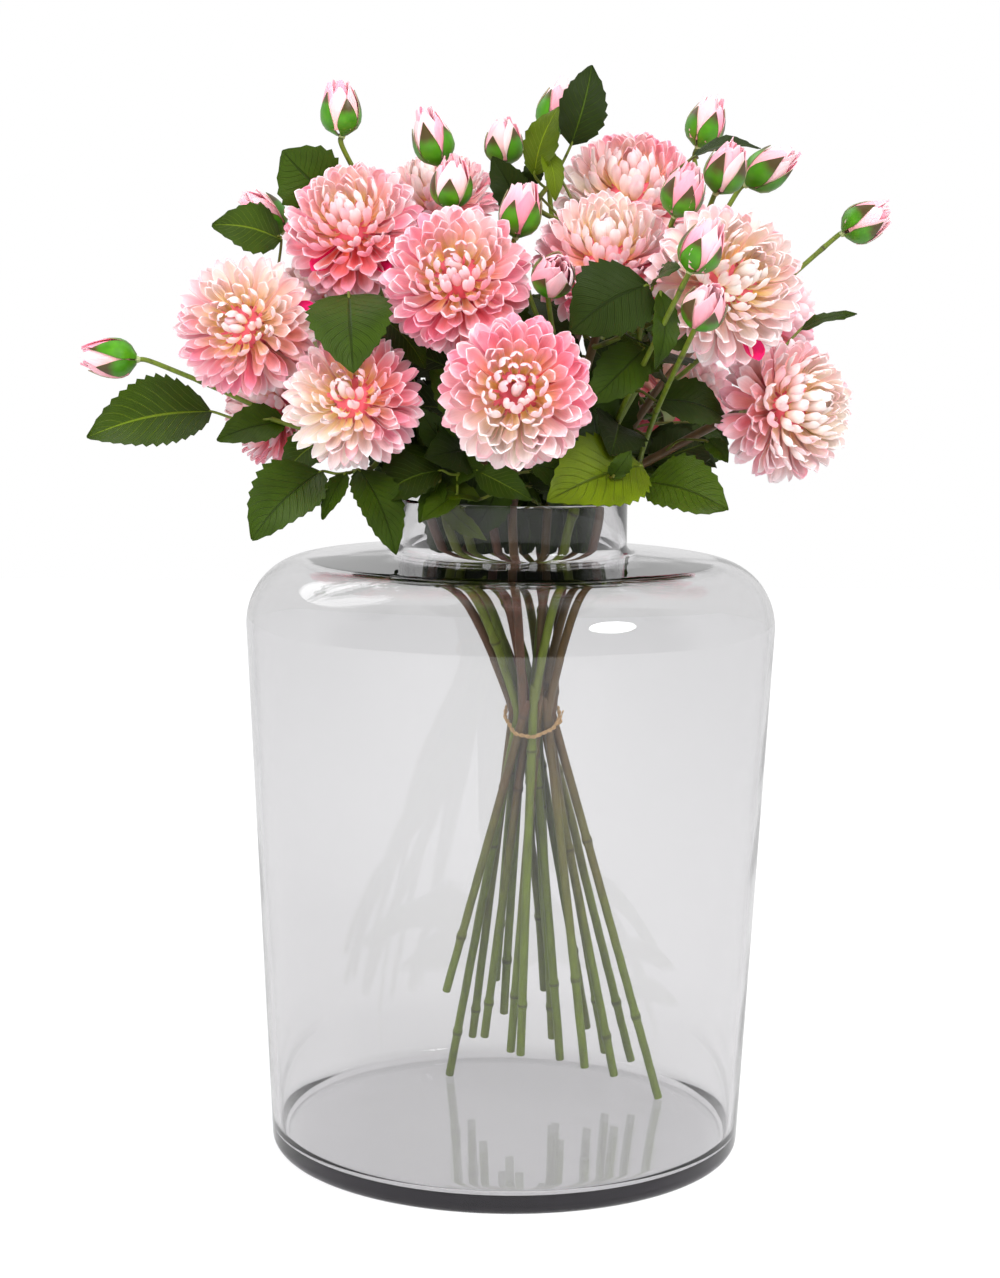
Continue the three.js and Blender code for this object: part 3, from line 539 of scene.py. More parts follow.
def moulded_stem():
    """Satin moulded plastic. hue is 0 for a green stem and 1 for a brown one; tone marks a joint."""
    material, tree, shader = new_material("moulded_polyethylene_stem")
    hue = add(tree, "ShaderNodeAttribute", attribute_name="hue").outputs["Fac"]
    joint = add(tree, "ShaderNodeAttribute", attribute_name="tone").outputs["Fac"]
    place = add(tree, "ShaderNodeTexCoord").outputs["Object"]
    height = add(tree, "ShaderNodeSeparateXYZ", {0: place}).outputs["Z"]
    dyed = add(tree, "ShaderNodeMapRange", {"Value": height, "From Min": BROWN_FROM, "From Max": BROWN_FULL})
    drawn = add(tree, "ShaderNodeMapping", {"Vector": place, "Scale": (260, 260, 36)})
    flecks = add(tree, "ShaderNodeTexNoise", {"Vector": drawn, "Scale": 1.0, "Detail": 3.0})
    broad = add(tree, "ShaderNodeTexNoise", {"Vector": place, "Scale": 14.0, "Detail": 2.0})
    shift = add(tree, "ShaderNodeMath", {0: broad, 1: 0.9, 2: -0.45}, operation="MULTIPLY_ADD")
    faded = add(tree, "ShaderNodeMath", {0: hue, 1: dyed}, operation="MULTIPLY")
    brownness = add(tree, "ShaderNodeMath", {0: faded, 1: shift}, operation="ADD", use_clamp=True)
    fleck = {"Value": flecks, "From Min": 0.42, "From Max": 0.75, "To Max": 0.45}
    dark = add(tree, "ShaderNodeMapRange", fleck)
    ring_share = add(tree, "ShaderNodeMath", {0: joint, 1: 0.75}, operation="MULTIPLY")
    skin = coats(tree, "#66781A", (brownness, "#5C3A28"), (dark, "#2E2C16"), (ring_share, "#33291A"))
    tree.links.new(skin, shader.inputs["Base Color"])
    shader.inputs["Roughness"].default_value = 0.48
    bump = add(tree, "ShaderNodeBump", {"Height": flecks, "Strength": 0.25, "Distance": 0.4 * MM})
    tree.links.new(bump.outputs[0], shader.inputs["Normal"])
    return material


stem_skin = moulded_stem()

# %% [markdown]
# ## Stems
#
# A stem is a round rod that swells a little at each joint. The tree below turns the line read from the
# frame into a smooth curve, works out how near each point is to a joint, and sweeps a circle along it.

# %% A tree for stems
def stem_tree():
    """Line to rod, with joints at an even spacing."""
    tree, given, result = new_tree(
        "rod_with_joints",
        {
            "Geometry": ("Geometry", None),
            "Radius": ("Float", 3 * MM),
            "Joint spacing": ("Float", 60 * MM),
            "First joint": ("Float", 30 * MM),
            "Joint swell": ("Float", 0.2),
            "Brownness": ("Float", 0.0),
            "Skin": ("Material", None),
        },
    )
    curve = add(tree, "GeometryNodeMeshToCurve", {"Mesh": given["Geometry"]})
    bent = add(tree, "GeometryNodeCurveSplineType", {"Curve": curve}, spline_type="CATMULL_ROM")
    fine = add(tree, "GeometryNodeResampleCurve", {"Curve": bent, "Length": 1.6 * MM}, mode="LENGTH")
    run = add(tree, "GeometryNodeSplineParameter").outputs["Length"]
    past = add(tree, "ShaderNodeMath", {0: run, 1: given["First joint"]}, operation="SUBTRACT")
    apart = add(tree, "ShaderNodeMath", {0: past, 1: given["Joint spacing"]}, operation="PINGPONG")
    near = add(tree, "ShaderNodeMapRange", {"Value": apart, "From Min": 5 * MM, "From Max": 0.0}, **SMOOTH)
    close = {"Value": apart, "From Min": 1.6 * MM, "From Max": 0.4 * MM}
    ring = add(tree, "ShaderNodeMapRange", close, **SMOOTH)
    swell = add(tree, "ShaderNodeMath", {0: near, 1: given["Joint swell"], 2: 1.0}, operation="MULTIPLY_ADD")
    line = fine
    for label, value in (("tone", ring), ("hue", given["Brownness"])):
        stored = {"Geometry": line, "Name": label, "Value": value}
        line = add(tree, "GeometryNodeStoreNamedAttribute", stored, data_type="FLOAT")
    section = add(tree, "GeometryNodeCurvePrimitiveCircle", {"Resolution": 12, "Radius": given["Radius"]})
    swept = {"Curve": line, "Profile Curve": section, "Scale": swell, "Fill Caps": True}
    rod = add(tree, "GeometryNodeCurveToMesh", swept)
    real = add(tree, "GeometryNodeRealizeInstances", {"Geometry": rod})
    done = add(tree, "GeometryNodeSetMaterial", {"Geometry": real, "Material": given["Skin"]})
    tree.links.new(done.outputs[0], result.inputs[0])
    return tree


rod_tree = stem_tree()
STEM_RADIUS = 3.05 * MM
BROWN_STEMS = {2: 0.9, 4: 1.0, 5: 0.9, 6: 0.85, 9: 0.9, 11: 0.95, 13: 1.0, 15: 0.9, 17: 0.6, 18: 1.0}
stem_random = np.random.default_rng(4)


def rod(points, radius, spacing=60 * MM, first=25 * MM, swell=0.24, brownness=0.0):
    """A rod along the points, as a mesh."""
    mesh = run_tree(
        rod_tree,
        polyline(points),
        radius=radius,
        joint_spacing=spacing,
        first_joint=first,
        joint_swell=swell,
        brownness=brownness,
        skin=stem_skin,
    )
    smooth(mesh)
    return mesh


for number, name in enumerate(STEM_NAMES, start=1):
    made = rod(
        stem_lines[name],
        STEM_RADIUS,
        spacing=stem_random.uniform(60, 95) * MM,
        first=stem_random.uniform(20, 70) * MM,
        brownness=BROWN_STEMS.get(number, 0.1),
    )
    piece(name.replace("stem", "flower_stem"), [made], [stem_skin], "stem_skin", name)
print(len(STEM_NAMES), "stems made")

# %% [markdown]
# ## The twine
#
# One loop of twisted raffia holds the bunch. Twine is two plies wound round each other, so the tree
# sweeps one ply along a helix about the loop's line, and does it twice with half a turn between them.
# The loop's line comes from the frame: its solid is a plain ring, read in slices about its middle.

# %% Twine
PLY_RADIUS = 0.8 * MM
PLY_OFFSET = 0.7 * MM
TWIST_PITCH = 8.5 * MM
TIE_SLICES = 30


def tie_line():
    """Points round the middle of the frame's ring."""
    mesh = merged("tie")
    places = np.array([v.co for v in mesh.verts])
    mesh.free()
    middle = (places.min(0) + places.max(0)) / 2
    angle = np.arctan2(places[:, 1] - middle[1], places[:, 0] - middle[0])
    slices = np.floor((angle / (2 * math.pi) + 0.5) * TIE_SLICES).astype(int) % TIE_SLICES
    return [places[slices == k].mean(0) for k in range(TIE_SLICES)]


def twine_tree():
    """Line to one ply, wound about the line."""
    tree, given, result = new_tree(
        "twine_ply",
        {
            "Geometry": ("Geometry", None),
            "Ply radius": ("Float", PLY_RADIUS),
            "Offset": ("Float", PLY_OFFSET),
            "Pitch": ("Float", TWIST_PITCH),
            "First turn": ("Float", 0.0),
            "Fibre": ("Material", None),
        },
    )
    curve = add(tree, "GeometryNodeMeshToCurve", {"Mesh": given["Geometry"]})
    bent = add(tree, "GeometryNodeCurveSplineType", {"Curve": curve}, spline_type="CATMULL_ROM")
    fine = add(tree, "GeometryNodeResampleCurve", {"Curve": bent, "Length": 0.9 * MM}, mode="LENGTH")
    run = add(tree, "GeometryNodeSplineParameter").outputs["Length"]
    turns = add(tree, "ShaderNodeMath", {0: run, 1: given["Pitch"]}, operation="DIVIDE")
    wound_by = {0: turns, 1: 2 * math.pi, 2: given["First turn"]}
    angle = add(tree, "ShaderNodeMath", wound_by, operation="MULTIPLY_ADD")
    tangent = add(tree, "GeometryNodeInputTangent")
    spin = add(tree, "FunctionNodeAxisAngleToRotation", {"Axis": tangent, "Angle": angle})
    out = add(tree, "FunctionNodeRotateVector", {0: add(tree, "GeometryNodeInputNormal"), 1: spin})
    offset = add(tree, "ShaderNodeVectorMath", {0: out, "Scale": given["Offset"]}, operation="SCALE")
    wound = add(tree, "GeometryNodeSetPosition", {"Geometry": fine, "Offset": offset})
    rough = add(tree, "FunctionNodeRandomValue", {2: 0.8, 3: 1.2, "Seed": 3}, data_type="FLOAT")
    section = add(tree, "GeometryNodeCurvePrimitiveCircle", {"Resolution": 7, "Radius": given["Ply radius"]})
    swept = {"Curve": wound, "Profile Curve": section, "Scale": rough.outputs[1], "Fill Caps": True}
    ply = add(tree, "GeometryNodeCurveToMesh", swept)
    real = add(tree, "GeometryNodeRealizeInstances", {"Geometry": ply})
    done = add(tree, "GeometryNodeSetMaterial", {"Geometry": real, "Material": given["Fibre"]})
    tree.links.new(done.outputs[0], result.inputs[0])
    return tree


def raffia():
    """Matt tan plant fibre with fine dark lines along the strand."""
    material, tree, shader = new_material("twisted_raffia")
    place = add(tree, "ShaderNodeTexCoord").outputs["Object"]
    fine = add(tree, "ShaderNodeTexNoise", {"Vector": place, "Scale": 900.0, "Detail": 2.0})
    tree.links.new(coats(tree, "#8A6438", (fine, "#D8B684")), shader.inputs["Base Color"])
    shader.inputs["Roughness"].default_value = 0.85
    bump = add(tree, "ShaderNodeBump", {"Height": fine, "Strength": 0.5, "Distance": 0.3 * MM})
    tree.links.new(bump.outputs[0], shader.inputs["Normal"])
    return material


fibre = raffia()
ply_tree = twine_tree()
loop = [Vector(p) for p in tie_line()]
knot_at = max(range(len(loop)), key=lambda k: loop[k].x - 0.4 * loop[k].y)
ring = loop[knot_at:] + loop[:knot_at] + [loop[knot_at]]
out_of_loop = (ring[0] - sum(loop, Vector()) / len(loop)).normalized()
KNOT_TURNS = ((0, 0, -2.2), (1.5, -1, 0.4), (0.2, 1.2, 2), (-0.8, -1.4, 0.3), (1.4, 0.2, -1.6))
knot = [ring[0] + out_of_loop * 0.4 * MM + Vector(p) * MM for p in KNOT_TURNS]
tail_bend = ring[0] + out_of_loop * 2 * MM + Vector((0, 0, 3 * MM))
tail = [ring[0], tail_bend, ring[0] + Vector((3.6, -1, 7.5)) * MM]
plies = [
    run_tree(
        ply_tree,
        polyline(line),
        ply_radius=radius,
        offset=offset,
        pitch=TWIST_PITCH,
        first_turn=first_turn,
        fibre=fibre,
    )
    for line, radius, offset, first_turn in (
        (ring, PLY_RADIUS, PLY_OFFSET, 0.0),
        (ring, PLY_RADIUS, PLY_OFFSET, math.pi),
        (knot, 0.9 * PLY_RADIUS, 0.5 * PLY_OFFSET, 0.0),
        (tail, 0.55 * PLY_RADIUS, 0.4 * PLY_OFFSET, 0.0),
    )
]
for ply in plies:
    smooth(ply)
twine = piece("twine_loop", plies, [fibre] * len(plies), "twine", "tie")
print("twine has", triangles(twine), "triangles")

# %% [markdown]
# ## Petal cloth
#
# The petals are polyester cloth, cut and pressed hot into spoons, then dyed by hand. The throat is
# deepest, partly dye and partly a painted shade of the deep bloom; it turns pink along the petal and
# fades to a pale rim. The middle of the heart petals is painted paler, a painted light against the shade
# between them. Whole sides of a bloom were left cream, a few petals caught coral or a hot pink. These
# sides are attributes that the bloom's tree writes for each petal, so one material serves all the blooms.

# %% Petal cloth
def pressed_cloth():
    """Dyed matt cloth, fine lines along each petal, painted shade at the throat, painted light at the heart.
    """
    material, tree, shader = new_material("pressed_polyester_petal_cloth")
    along, across, tone, cream, coral, hot, heart = (
        add(tree, "ShaderNodeAttribute", attribute_name=label).outputs["Fac"]
        for label in ("along", "across", "tone", "cream", "coral", "hot", "heart")
    )
    place = add(tree, "ShaderNodeTexCoord").outputs["Object"]
    cloudy = add(tree, "ShaderNodeTexNoise", {"Vector": place, "Scale": 90.0, "Detail": 2.0}).outputs[0]
    sideways = add(tree, "ShaderNodeMath", {0: across, 1: 2.6}, operation="MULTIPLY")
    lines_at = add(tree, "ShaderNodeCombineXYZ", {0: sideways, 1: along, 2: tone})
    lines = add(tree, "ShaderNodeTexNoise", {"Vector": lines_at, "Scale": 2.4, "Detail": 3.0}).outputs[0]

    # How far the dye and the throat's painted shade have faded along the petal. Petals of the heart fade
    # less.
    faded = add(tree, "ShaderNodeMath", {0: cloudy, 1: 0.3, 2: along}, operation="MULTIPLY_ADD")
    past_shaded_throat, past_middle = (
        add(tree, "ShaderNodeMapRange", {"Value": faded, "From Min": start, "From Max": end}, **SMOOTH)
        for start, end in ((0.45, 0.9), (0.8, 1.15))
    )
    away = add(tree, "ShaderNodeMath", {0: heart, 1: -0.3, 2: 1.0}, operation="MULTIPLY_ADD")
    paled = add(tree, "ShaderNodeMath", {0: past_middle, 1: away}, operation="MULTIPLY")
    # Painted light: the middle of the heart petals is painted paler, against the shade that falls between
    # them.
    painted_heart_light = add(tree, "ShaderNodeMath", {0: heart, 1: 0.45}, operation="MULTIPLY")
    edge = add(tree, "ShaderNodeMath", {0: across}, operation="ABSOLUTE")
    sides = add(tree, "ShaderNodeMapRange", {"Value": edge, "From Min": 0.5, "From Max": 1.0}, **SMOOTH)
    end = add(tree, "ShaderNodeMapRange", {"Value": along, "From Min": 0.88, "From Max": 1.0}, **SMOOTH)
    rim = add(tree, "ShaderNodeMath", {0: sides, 1: end}, operation="MAXIMUM")
    rim_share = add(tree, "ShaderNodeMath", {0: away, 1: 0.55}, operation="MULTIPLY")
    rimmed = add(tree, "ShaderNodeMath", {0: rim, 1: rim_share}, operation="MULTIPLY")

    # The throat's deep pink is partly dye and partly painted shade of the deep bloom; coral, cream and the
    # yellow heart are dye.
    throat_dye_and_shade = coats(tree, "#FF7C94", (coral, "#FF6A38"), (cream, "#FFE6BC"), (heart, "#FFE486"))
    pink = coats(tree, "#FF7C9C", (tone, "#FFA8BC"))
    middle = coats(tree, pink, (cream, "#FFF4E4"), (coral, "#FF8670"), (painted_heart_light, "#FFE6D2"))
    outer = coats(tree, "#FFA2BA", (tone, "#FFD6E0"), (cream, "#FFFCF8"))
    rim_dye = coats(tree, "#FF90AA", (tone, "#FFFAFA"))
    layers = ((past_shaded_throat, middle), (paled, outer), (rimmed, rim_dye), (hot, "#EE1C6C"))
    dyed = coats(tree, throat_dye_and_shade, *layers)
    streaked = {"Value": lines, "From Min": 0.3, "From Max": 0.7, "To Min": 0.93, "To Max": 1.03}
    value = add(tree, "ShaderNodeMapRange", streaked)
    final = add(tree, "ShaderNodeHueSaturation", {"Color": dyed, "Value": value})
    tree.links.new(final.outputs[0], shader.inputs["Base Color"])
    shader.inputs["Roughness"].default_value = 0.7
    shader.inputs["Subsurface Weight"].default_value = 0.35
    shader.inputs["Subsurface Radius"].default_value = (1.0, 0.7, 0.65)
    shader.inputs["Subsurface Scale"].default_value = 2.5 * MM
    shader.inputs["Specular IOR Level"].default_value = 0.3
    shader.inputs["Sheen Weight"].default_value = 0.1
    shader.inputs["Sheen Roughness"].default_value = 0.4
    bump = add(tree, "ShaderNodeBump", {"Height": lines, "Strength": 0.35, "Distance": 0.5 * MM})
    tree.links.new(bump.outputs[0], shader.inputs["Normal"])
    return material


petal_cloth = pressed_cloth()

# %% [markdown]
# ## Petals
#
# A pressed petal starts as a roll, opens into a spoon and ends in a round tip. The ones near the heart
# are rolled tighter and nod inwards, and the outer ones open wide and bend back. So the petals are made
# as a row of kinds from closed to open, each one unit long and one unit wide: the bloom's tree gives
# them their real length and width.

# %% Kinds of petal
PETAL_KINDS = 8
PETAL_ROWS = [0, 0.35, 0.62, 0.8, 0.9, 0.965, 1.0]
PETAL_COLUMNS = 6
TIP_FROM = 0.78  # where the round tip begins, as a share of the length
CLOTH = 0.02  # thickness, as a share of a petal's width


def petal(opening, pointed, wave, name):
    """A petal of unit size along Z that opens towards +Y. opening is 0 at the heart, 1 at the back."""
    skins = Skins()
    t = np.array(PETAL_ROWS)[:, None]
    u = np.linspace(-1, 1, PETAL_COLUMNS)[None, :]
    round_tip = np.sqrt(1 - 0.94 * np.clip((t - TIP_FROM) / (1 - TIP_FROM), 0, 1) ** 2)
    sharp_tip = 1 - 0.88 * np.clip((t - 0.6) / 0.4, 0, 1) ** 1.3
    width = (0.32 + 0.68 * ramp(t, 0.15, 0.8)) * (round_tip * (1 - pointed) + sharp_tip * pointed)
    rolled = math.radians(120 - 20 * opening)
    spread = math.radians(74 - 30 * opening)
    curl = rolled + (spread - rolled) * ramp(t, 0.05, 0.72)
    radius = width / 2 / np.sin(np.minimum(curl, math.pi / 2))
    x = radius * np.sin(u * curl)
    bow = -0.5 + 0.8 * opening
    nod = 0.5 - 0.3 * opening
    y = radius * (1 - np.cos(u * curl)) + bow * 4 * (t - t * t)
    y = y + nod * ramp(t, 0.72, 1.05) - 0.45 * opening**2 * t**3
    y = y + wave * 0.05 * np.sin(6 * t + 2.5 * u) * t
    z = t - 0.02 * u**2 * ramp(t, 0.75, 1)
    grid = np.stack(np.broadcast_arrays(x, y, z), axis=2)
    skins.add(grid, CLOTH, along=t, across=u)
    return bpy.data.objects.new(name, skins.mesh(name, sharp=80))


def petal_set(name, pointed):
    """All the kinds of petal from closed to open, in one collection."""
    kinds = bpy.data.collections.new(name)
    for k in range(PETAL_KINDS):
        share = k / (PETAL_KINDS - 1)
        kinds.objects.link(petal(share, pointed, (-1) ** k, f"{name}_{k:02d}"))
    return kinds


round_petals = petal_set("round_petal", 0.0)
long_petals = petal_set("long_petal", 0.4)

# %% [markdown]
# ## The bloom's tree
#
# Dahlia petals follow a spiral: each one sits a golden angle, about 137.5 degrees, round from the one
# before. The tree puts that many points from the heart to the back of the ball, aims each petal from
# the core to the ball's surface, picks its kind by how far out it is, and gives it its dye.

# %% A tree for blooms
GOLDEN_ANGLE = math.pi * (3 - math.sqrt(5))
PETALS_PER_BLOOM = 184
CROWDING = 0.58  # the power that packs the petals closer towards the back of the ball
ROOT_AT = 0.26  # where the petals start, as a share of the bloom's radius
ROOT_SUNK = 0.1  # how far their starts lie behind the ball's middle
PETAL_SPREADS = {
    # what varies from petal to petal: the least and the most
    "polar": (-0.07, 0.07),
    "turn": (-0.16, 0.16),
    "reach": (-0.05, 0.03),
    "tilt": (-0.35, 0.35),
    "width": (0.9, 1.12),
    "kind": (-0.6, 0.6),
    "cream": (-0.22, 0.22),
    "coral": (-0.22, 0.22),
    "hot": (0.0, 1.0),
    "tone": (0.0, 1.0),
}


def bloom_tree():
    """Petals in a spiral over a ball that faces +Z."""
    tree, given, result = new_tree(
        "dahlia_head",
        {
            "Petals": ("Int", PETALS_PER_BLOOM),
            "Radius": ("Float", 49 * MM),
            "Front": ("Float", 0.8),
            "Widest angle": ("Float", math.radians(122)),
            "Petal width": ("Float", 11 * MM),
            "Cream side": ("Vector", (0, 0, 1)),
            "Cream level": ("Float", 0.3),
            "Coral side": ("Vector", (0, -1, 0)),
            "Coral level": ("Float", 0.0),
            "Hot share": ("Float", 0.0),
            "Looseness": ("Float", 1.0),
            "Seed": ("Int", 1),
            "Kinds": ("Collection", None),
            "Cloth": ("Material", None),
        },
    )

    chance = {}
    for extra, (label, (least, most)) in enumerate(PETAL_SPREADS.items(), start=1):
        seed = add(tree, "ShaderNodeMath", {0: given["Seed"], 1: float(extra)}, operation="ADD")
        limits = {2: least, 3: most, "Seed": seed}
        drawn = add(tree, "FunctionNodeRandomValue", limits, data_type="FLOAT").outputs[1]
        chance[label] = drawn
        if label in ("polar", "turn", "tilt"):
            loose = {0: drawn, 1: given["Looseness"]}
            chance[label] = add(tree, "ShaderNodeMath", loose, operation="MULTIPLY")

    # Where each petal stands on the ball: its angle from the front, and its turn about the axis.
    index = add(tree, "GeometryNodeInputIndex").outputs[0]
    counted = add(tree, "ShaderNodeMath", {0: index, 1: 0.5}, operation="ADD")
    share = add(tree, "ShaderNodeMath", {0: counted, 1: given["Petals"]}, operation="DIVIDE")
    packed = add(tree, "ShaderNodeMath", {0: share, 1: CROWDING}, operation="POWER")
    opened = {0: packed, 1: given["Widest angle"], 2: chance["polar"]}
    polar = add(tree, "ShaderNodeMath", opened, operation="MULTIPLY_ADD")
    spiral = {0: index, 1: GOLDEN_ANGLE, 2: chance["turn"]}
    turn = add(tree, "ShaderNodeMath", spiral, operation="MULTIPLY_ADD")
    sine, cosine, round_x, round_y = (
        add(tree, "ShaderNodeMath", {0: angle}, operation=operation)
        for angle, operation in ((polar, "SINE"), (polar, "COSINE"), (turn, "COSINE"), (turn, "SINE"))
    )
    # The way it points, and the way its hollow side looks: towards the axis of the bloom.
    out_x, out_y, in_x, in_y = (
        add(tree, "ShaderNodeMath", {0: factor, 1: part}, operation="MULTIPLY")
        for factor, part in ((sine, round_x), (sine, round_y), (cosine, round_x), (cosine, round_y))
    )
    outward = add(tree, "ShaderNodeCombineXYZ", {0: out_x, 1: out_y, 2: cosine})
    in_x, in_y = (
        add(tree, "ShaderNodeMath", {0: part, 1: -1.0}, operation="MULTIPLY") for part in (in_x, in_y)
    )
    inward = add(tree, "ShaderNodeCombineXYZ", {0: in_x, 1: in_y, 2: sine})

    # From its root near the ball's middle to its tip on the ball, which is a little flat in front.
    front = {"Value": cosine, "From Min": 0.0, "From Max": 1.0, "To Min": 1.0, "To Max": given["Front"]}
    flat = add(tree, "ShaderNodeMapRange", front)
    ragged = {0: chance["reach"], 1: given["Looseness"], 2: 1.0}
    uneven = add(tree, "ShaderNodeMath", ragged, operation="MULTIPLY_ADD")
    reach = add(tree, "ShaderNodeMath", {0: flat, 1: uneven}, operation="MULTIPLY")
    reach = add(tree, "ShaderNodeMath", {0: reach, 1: given["Radius"]}, operation="MULTIPLY")
    tip = add(tree, "ShaderNodeVectorMath", {0: outward, "Scale": reach}, operation="SCALE")
    core = add(tree, "ShaderNodeMath", {0: given["Radius"], 1: ROOT_AT}, operation="MULTIPLY")
    root = add(tree, "ShaderNodeVectorMath", {0: outward, "Scale": core}, operation="SCALE")
    behind = add(tree, "ShaderNodeMath", {0: given["Radius"], 1: -ROOT_SUNK}, operation="MULTIPLY")
    sunk = add(tree, "ShaderNodeCombineXYZ", {2: behind})
    root = add(tree, "ShaderNodeVectorMath", {0: root, 1: sunk}, operation="ADD").outputs[0]
    span = add(tree, "ShaderNodeVectorMath", {0: tip, 1: root}, operation="SUBTRACT").outputs[0]
    length = add(tree, "ShaderNodeVectorMath", {0: span}, operation="LENGTH").outputs[1]
    axes = {"primary_axis": "Z", "secondary_axis": "Y"}
    aimed = add(tree, "FunctionNodeAxesToRotation", {0: span, 1: inward}, **axes)
    tilt = add(tree, "FunctionNodeAxisAngleToRotation", {"Axis": span, "Angle": chance["tilt"]})
    turned = add(tree, "FunctionNodeRotateRotation", {0: aimed, 1: tilt}, rotation_space="GLOBAL")

    # Its size and its kind: narrow and closed at the heart, wide and open at the back.
    growing = {"Value": share, "From Min": 0.0, "From Max": 0.45, "To Min": 0.6, "To Max": 1.0}
    wide = add(tree, "ShaderNodeMapRange", growing)
    wide = add(tree, "ShaderNodeMath", {0: wide, 1: chance["width"]}, operation="MULTIPLY")
    wide = add(tree, "ShaderNodeMath", {0: wide, 1: given["Petal width"]}, operation="MULTIPLY")
    size = add(tree, "ShaderNodeCombineXYZ", {0: wide, 1: wide, 2: length})
    opening = {0: share, 1: PETAL_KINDS - 1.0, 2: chance["kind"]}
    kind = add(tree, "ShaderNodeMath", opening, operation="MULTIPLY_ADD")
    kind = add(tree, "ShaderNodeClamp", {"Value": kind, "Min": 0.0, "Max": PETAL_KINDS - 1.0})
    kind = add(tree, "ShaderNodeMath", {0: kind}, operation="ROUND")

    # Its dye: more cream or coral the nearer it points to that side of the bloom.
    dye = {"tone": chance["tone"]}
    for label in ("cream", "coral"):
        sides = {0: outward, 1: given[f"{label.title()} side"]}
        facing = add(tree, "ShaderNodeVectorMath", sides, operation="DOT_PRODUCT").outputs[1]
        level = {0: facing, 1: 0.75, 2: given[f"{label.title()} level"]}
        eased = add(tree, "ShaderNodeMath", level, operation="MULTIPLY_ADD")
        varied = add(tree, "ShaderNodeMath", {0: eased, 1: chance[label]}, operation="ADD")
        dye[label] = add(tree, "ShaderNodeClamp", {0: varied})
    hot = add(tree, "ShaderNodeMath", {0: chance["hot"], 1: given["Hot share"]}, operation="LESS_THAN")
    outer_half = add(tree, "ShaderNodeMath", {0: share, 1: 0.5}, operation="GREATER_THAN")
    dye["hot"] = add(tree, "ShaderNodeMath", {0: hot, 1: outer_half}, operation="MULTIPLY")
    near_heart = {"Value": share, "From Min": 0.1, "From Max": 0.42, "To Min": 1.0, "To Max": 0.0}
    dye["heart"] = add(tree, "ShaderNodeMapRange", near_heart)

    points = add(tree, "GeometryNodePoints", {"Count": given["Petals"], "Position": root})
    for label, value in dye.items():
        stored = {"Geometry": points, "Name": label, "Value": value}
        points = add(tree, "GeometryNodeStoreNamedAttribute", stored, data_type="FLOAT")
    separate = {"Collection": given["Kinds"], "Separate Children": True, "Reset Children": True}
    kinds = add(tree, "GeometryNodeCollectionInfo", separate)
    petals = add(
        tree,
        "GeometryNodeInstanceOnPoints",
        {
            "Points": points,
            "Instance": kinds,
            "Pick Instance": True,
            "Instance Index": kind,
            "Rotation": turned,
            "Scale": size,
        },
    )
    real = add(tree, "GeometryNodeRealizeInstances", {"Geometry": petals})
    done = add(tree, "GeometryNodeSetMaterial", {"Geometry": real, "Material": given["Cloth"]})
    tree.links.new(done.outputs[0], result.inputs[0])
    return tree


head_tree = bloom_tree()
print("bloom tree has", len(head_tree.nodes), "nodes")

# %% [markdown]
# ## Sepal cloth
#
# Calyxes and buds are cut from a green satin cloth, glossier than the petals. It is brushed with brown
# at the tips and edges and fades to cream where a sepal folds over.

# %% Sepal cloth
def green_satin():
    """Bright green satin with brown tips."""
    material, tree, shader = new_material("green_satin_sepal_cloth")
    along, across, upper, tone = (
        add(tree, "ShaderNodeAttribute", attribute_name=label).outputs["Fac"]
        for label in ("along", "across", "side", "tone")
    )
    place = add(tree, "ShaderNodeTexCoord").outputs["Object"]
    cloudy = add(tree, "ShaderNodeTexNoise", {"Vector": place, "Scale": 120.0, "Detail": 2.0}).outputs[0]
    dipped = add(tree, "ShaderNodeMath", {0: tone, 1: 0.4, 2: along}, operation="MULTIPLY_ADD")
    edge = add(tree, "ShaderNodeMath", {0: across}, operation="ABSOLUTE")
    thin = add(tree, "ShaderNodeMath", {0: edge, 1: 0.85}, operation="MULTIPLY")
    outer = add(tree, "ShaderNodeMath", {0: dipped, 1: thin}, operation="MAXIMUM")
    reach = add(tree, "ShaderNodeMath", {0: cloudy, 1: 0.4, 2: outer}, operation="MULTIPLY_ADD")
    tipped = {"Value": reach, "From Min": 0.9, "From Max": 1.15, "To Max": 0.9}
    brushed = add(tree, "ShaderNodeMapRange", tipped, **SMOOTH)
    inner = add(tree, "ShaderNodeMath", {0: 1.0, 1: upper}, operation="SUBTRACT")
    pale = add(tree, "ShaderNodeMath", {0: inner, 1: 0.55}, operation="MULTIPLY")
    dyed = coats(tree, "#246002", (cloudy, "#56A008"), (brushed, "#4A2A1C"), (pale, "#D9DDA8"))
    tree.links.new(dyed, shader.inputs["Base Color"])
    shader.inputs["Roughness"].default_value = 0.38
    bump = add(tree, "ShaderNodeBump", {"Height": cloudy, "Strength": 0.15, "Distance": 0.5 * MM})
    tree.links.new(bump.outputs[0], shader.inputs["Normal"])
    return material


sepal_cloth = green_satin()

# %% [markdown]
# ## Blooms
#
# Behind the petals sits the calyx: a green cup on the stem's end, with a ring of small bracts. Each
# bloom states which of its sides was left cream or caught coral, as right and up in the front view.

# %% Bloom parts
def place_matrix(middle, facing):
    """Turns +Z to the facing direction, with +Y as near to up as it can be, and moves to the middle."""
    z = Vector(facing).normalized()
    x = Vector((0, 0, 1)).cross(z)
    x = x.normalized() if x.length > 1e-3 else Vector((1, 0, 0))
    turn = Matrix((x, z.cross(x), z)).transposed()
    return Matrix.Translation(middle) @ turn.to_4x4()


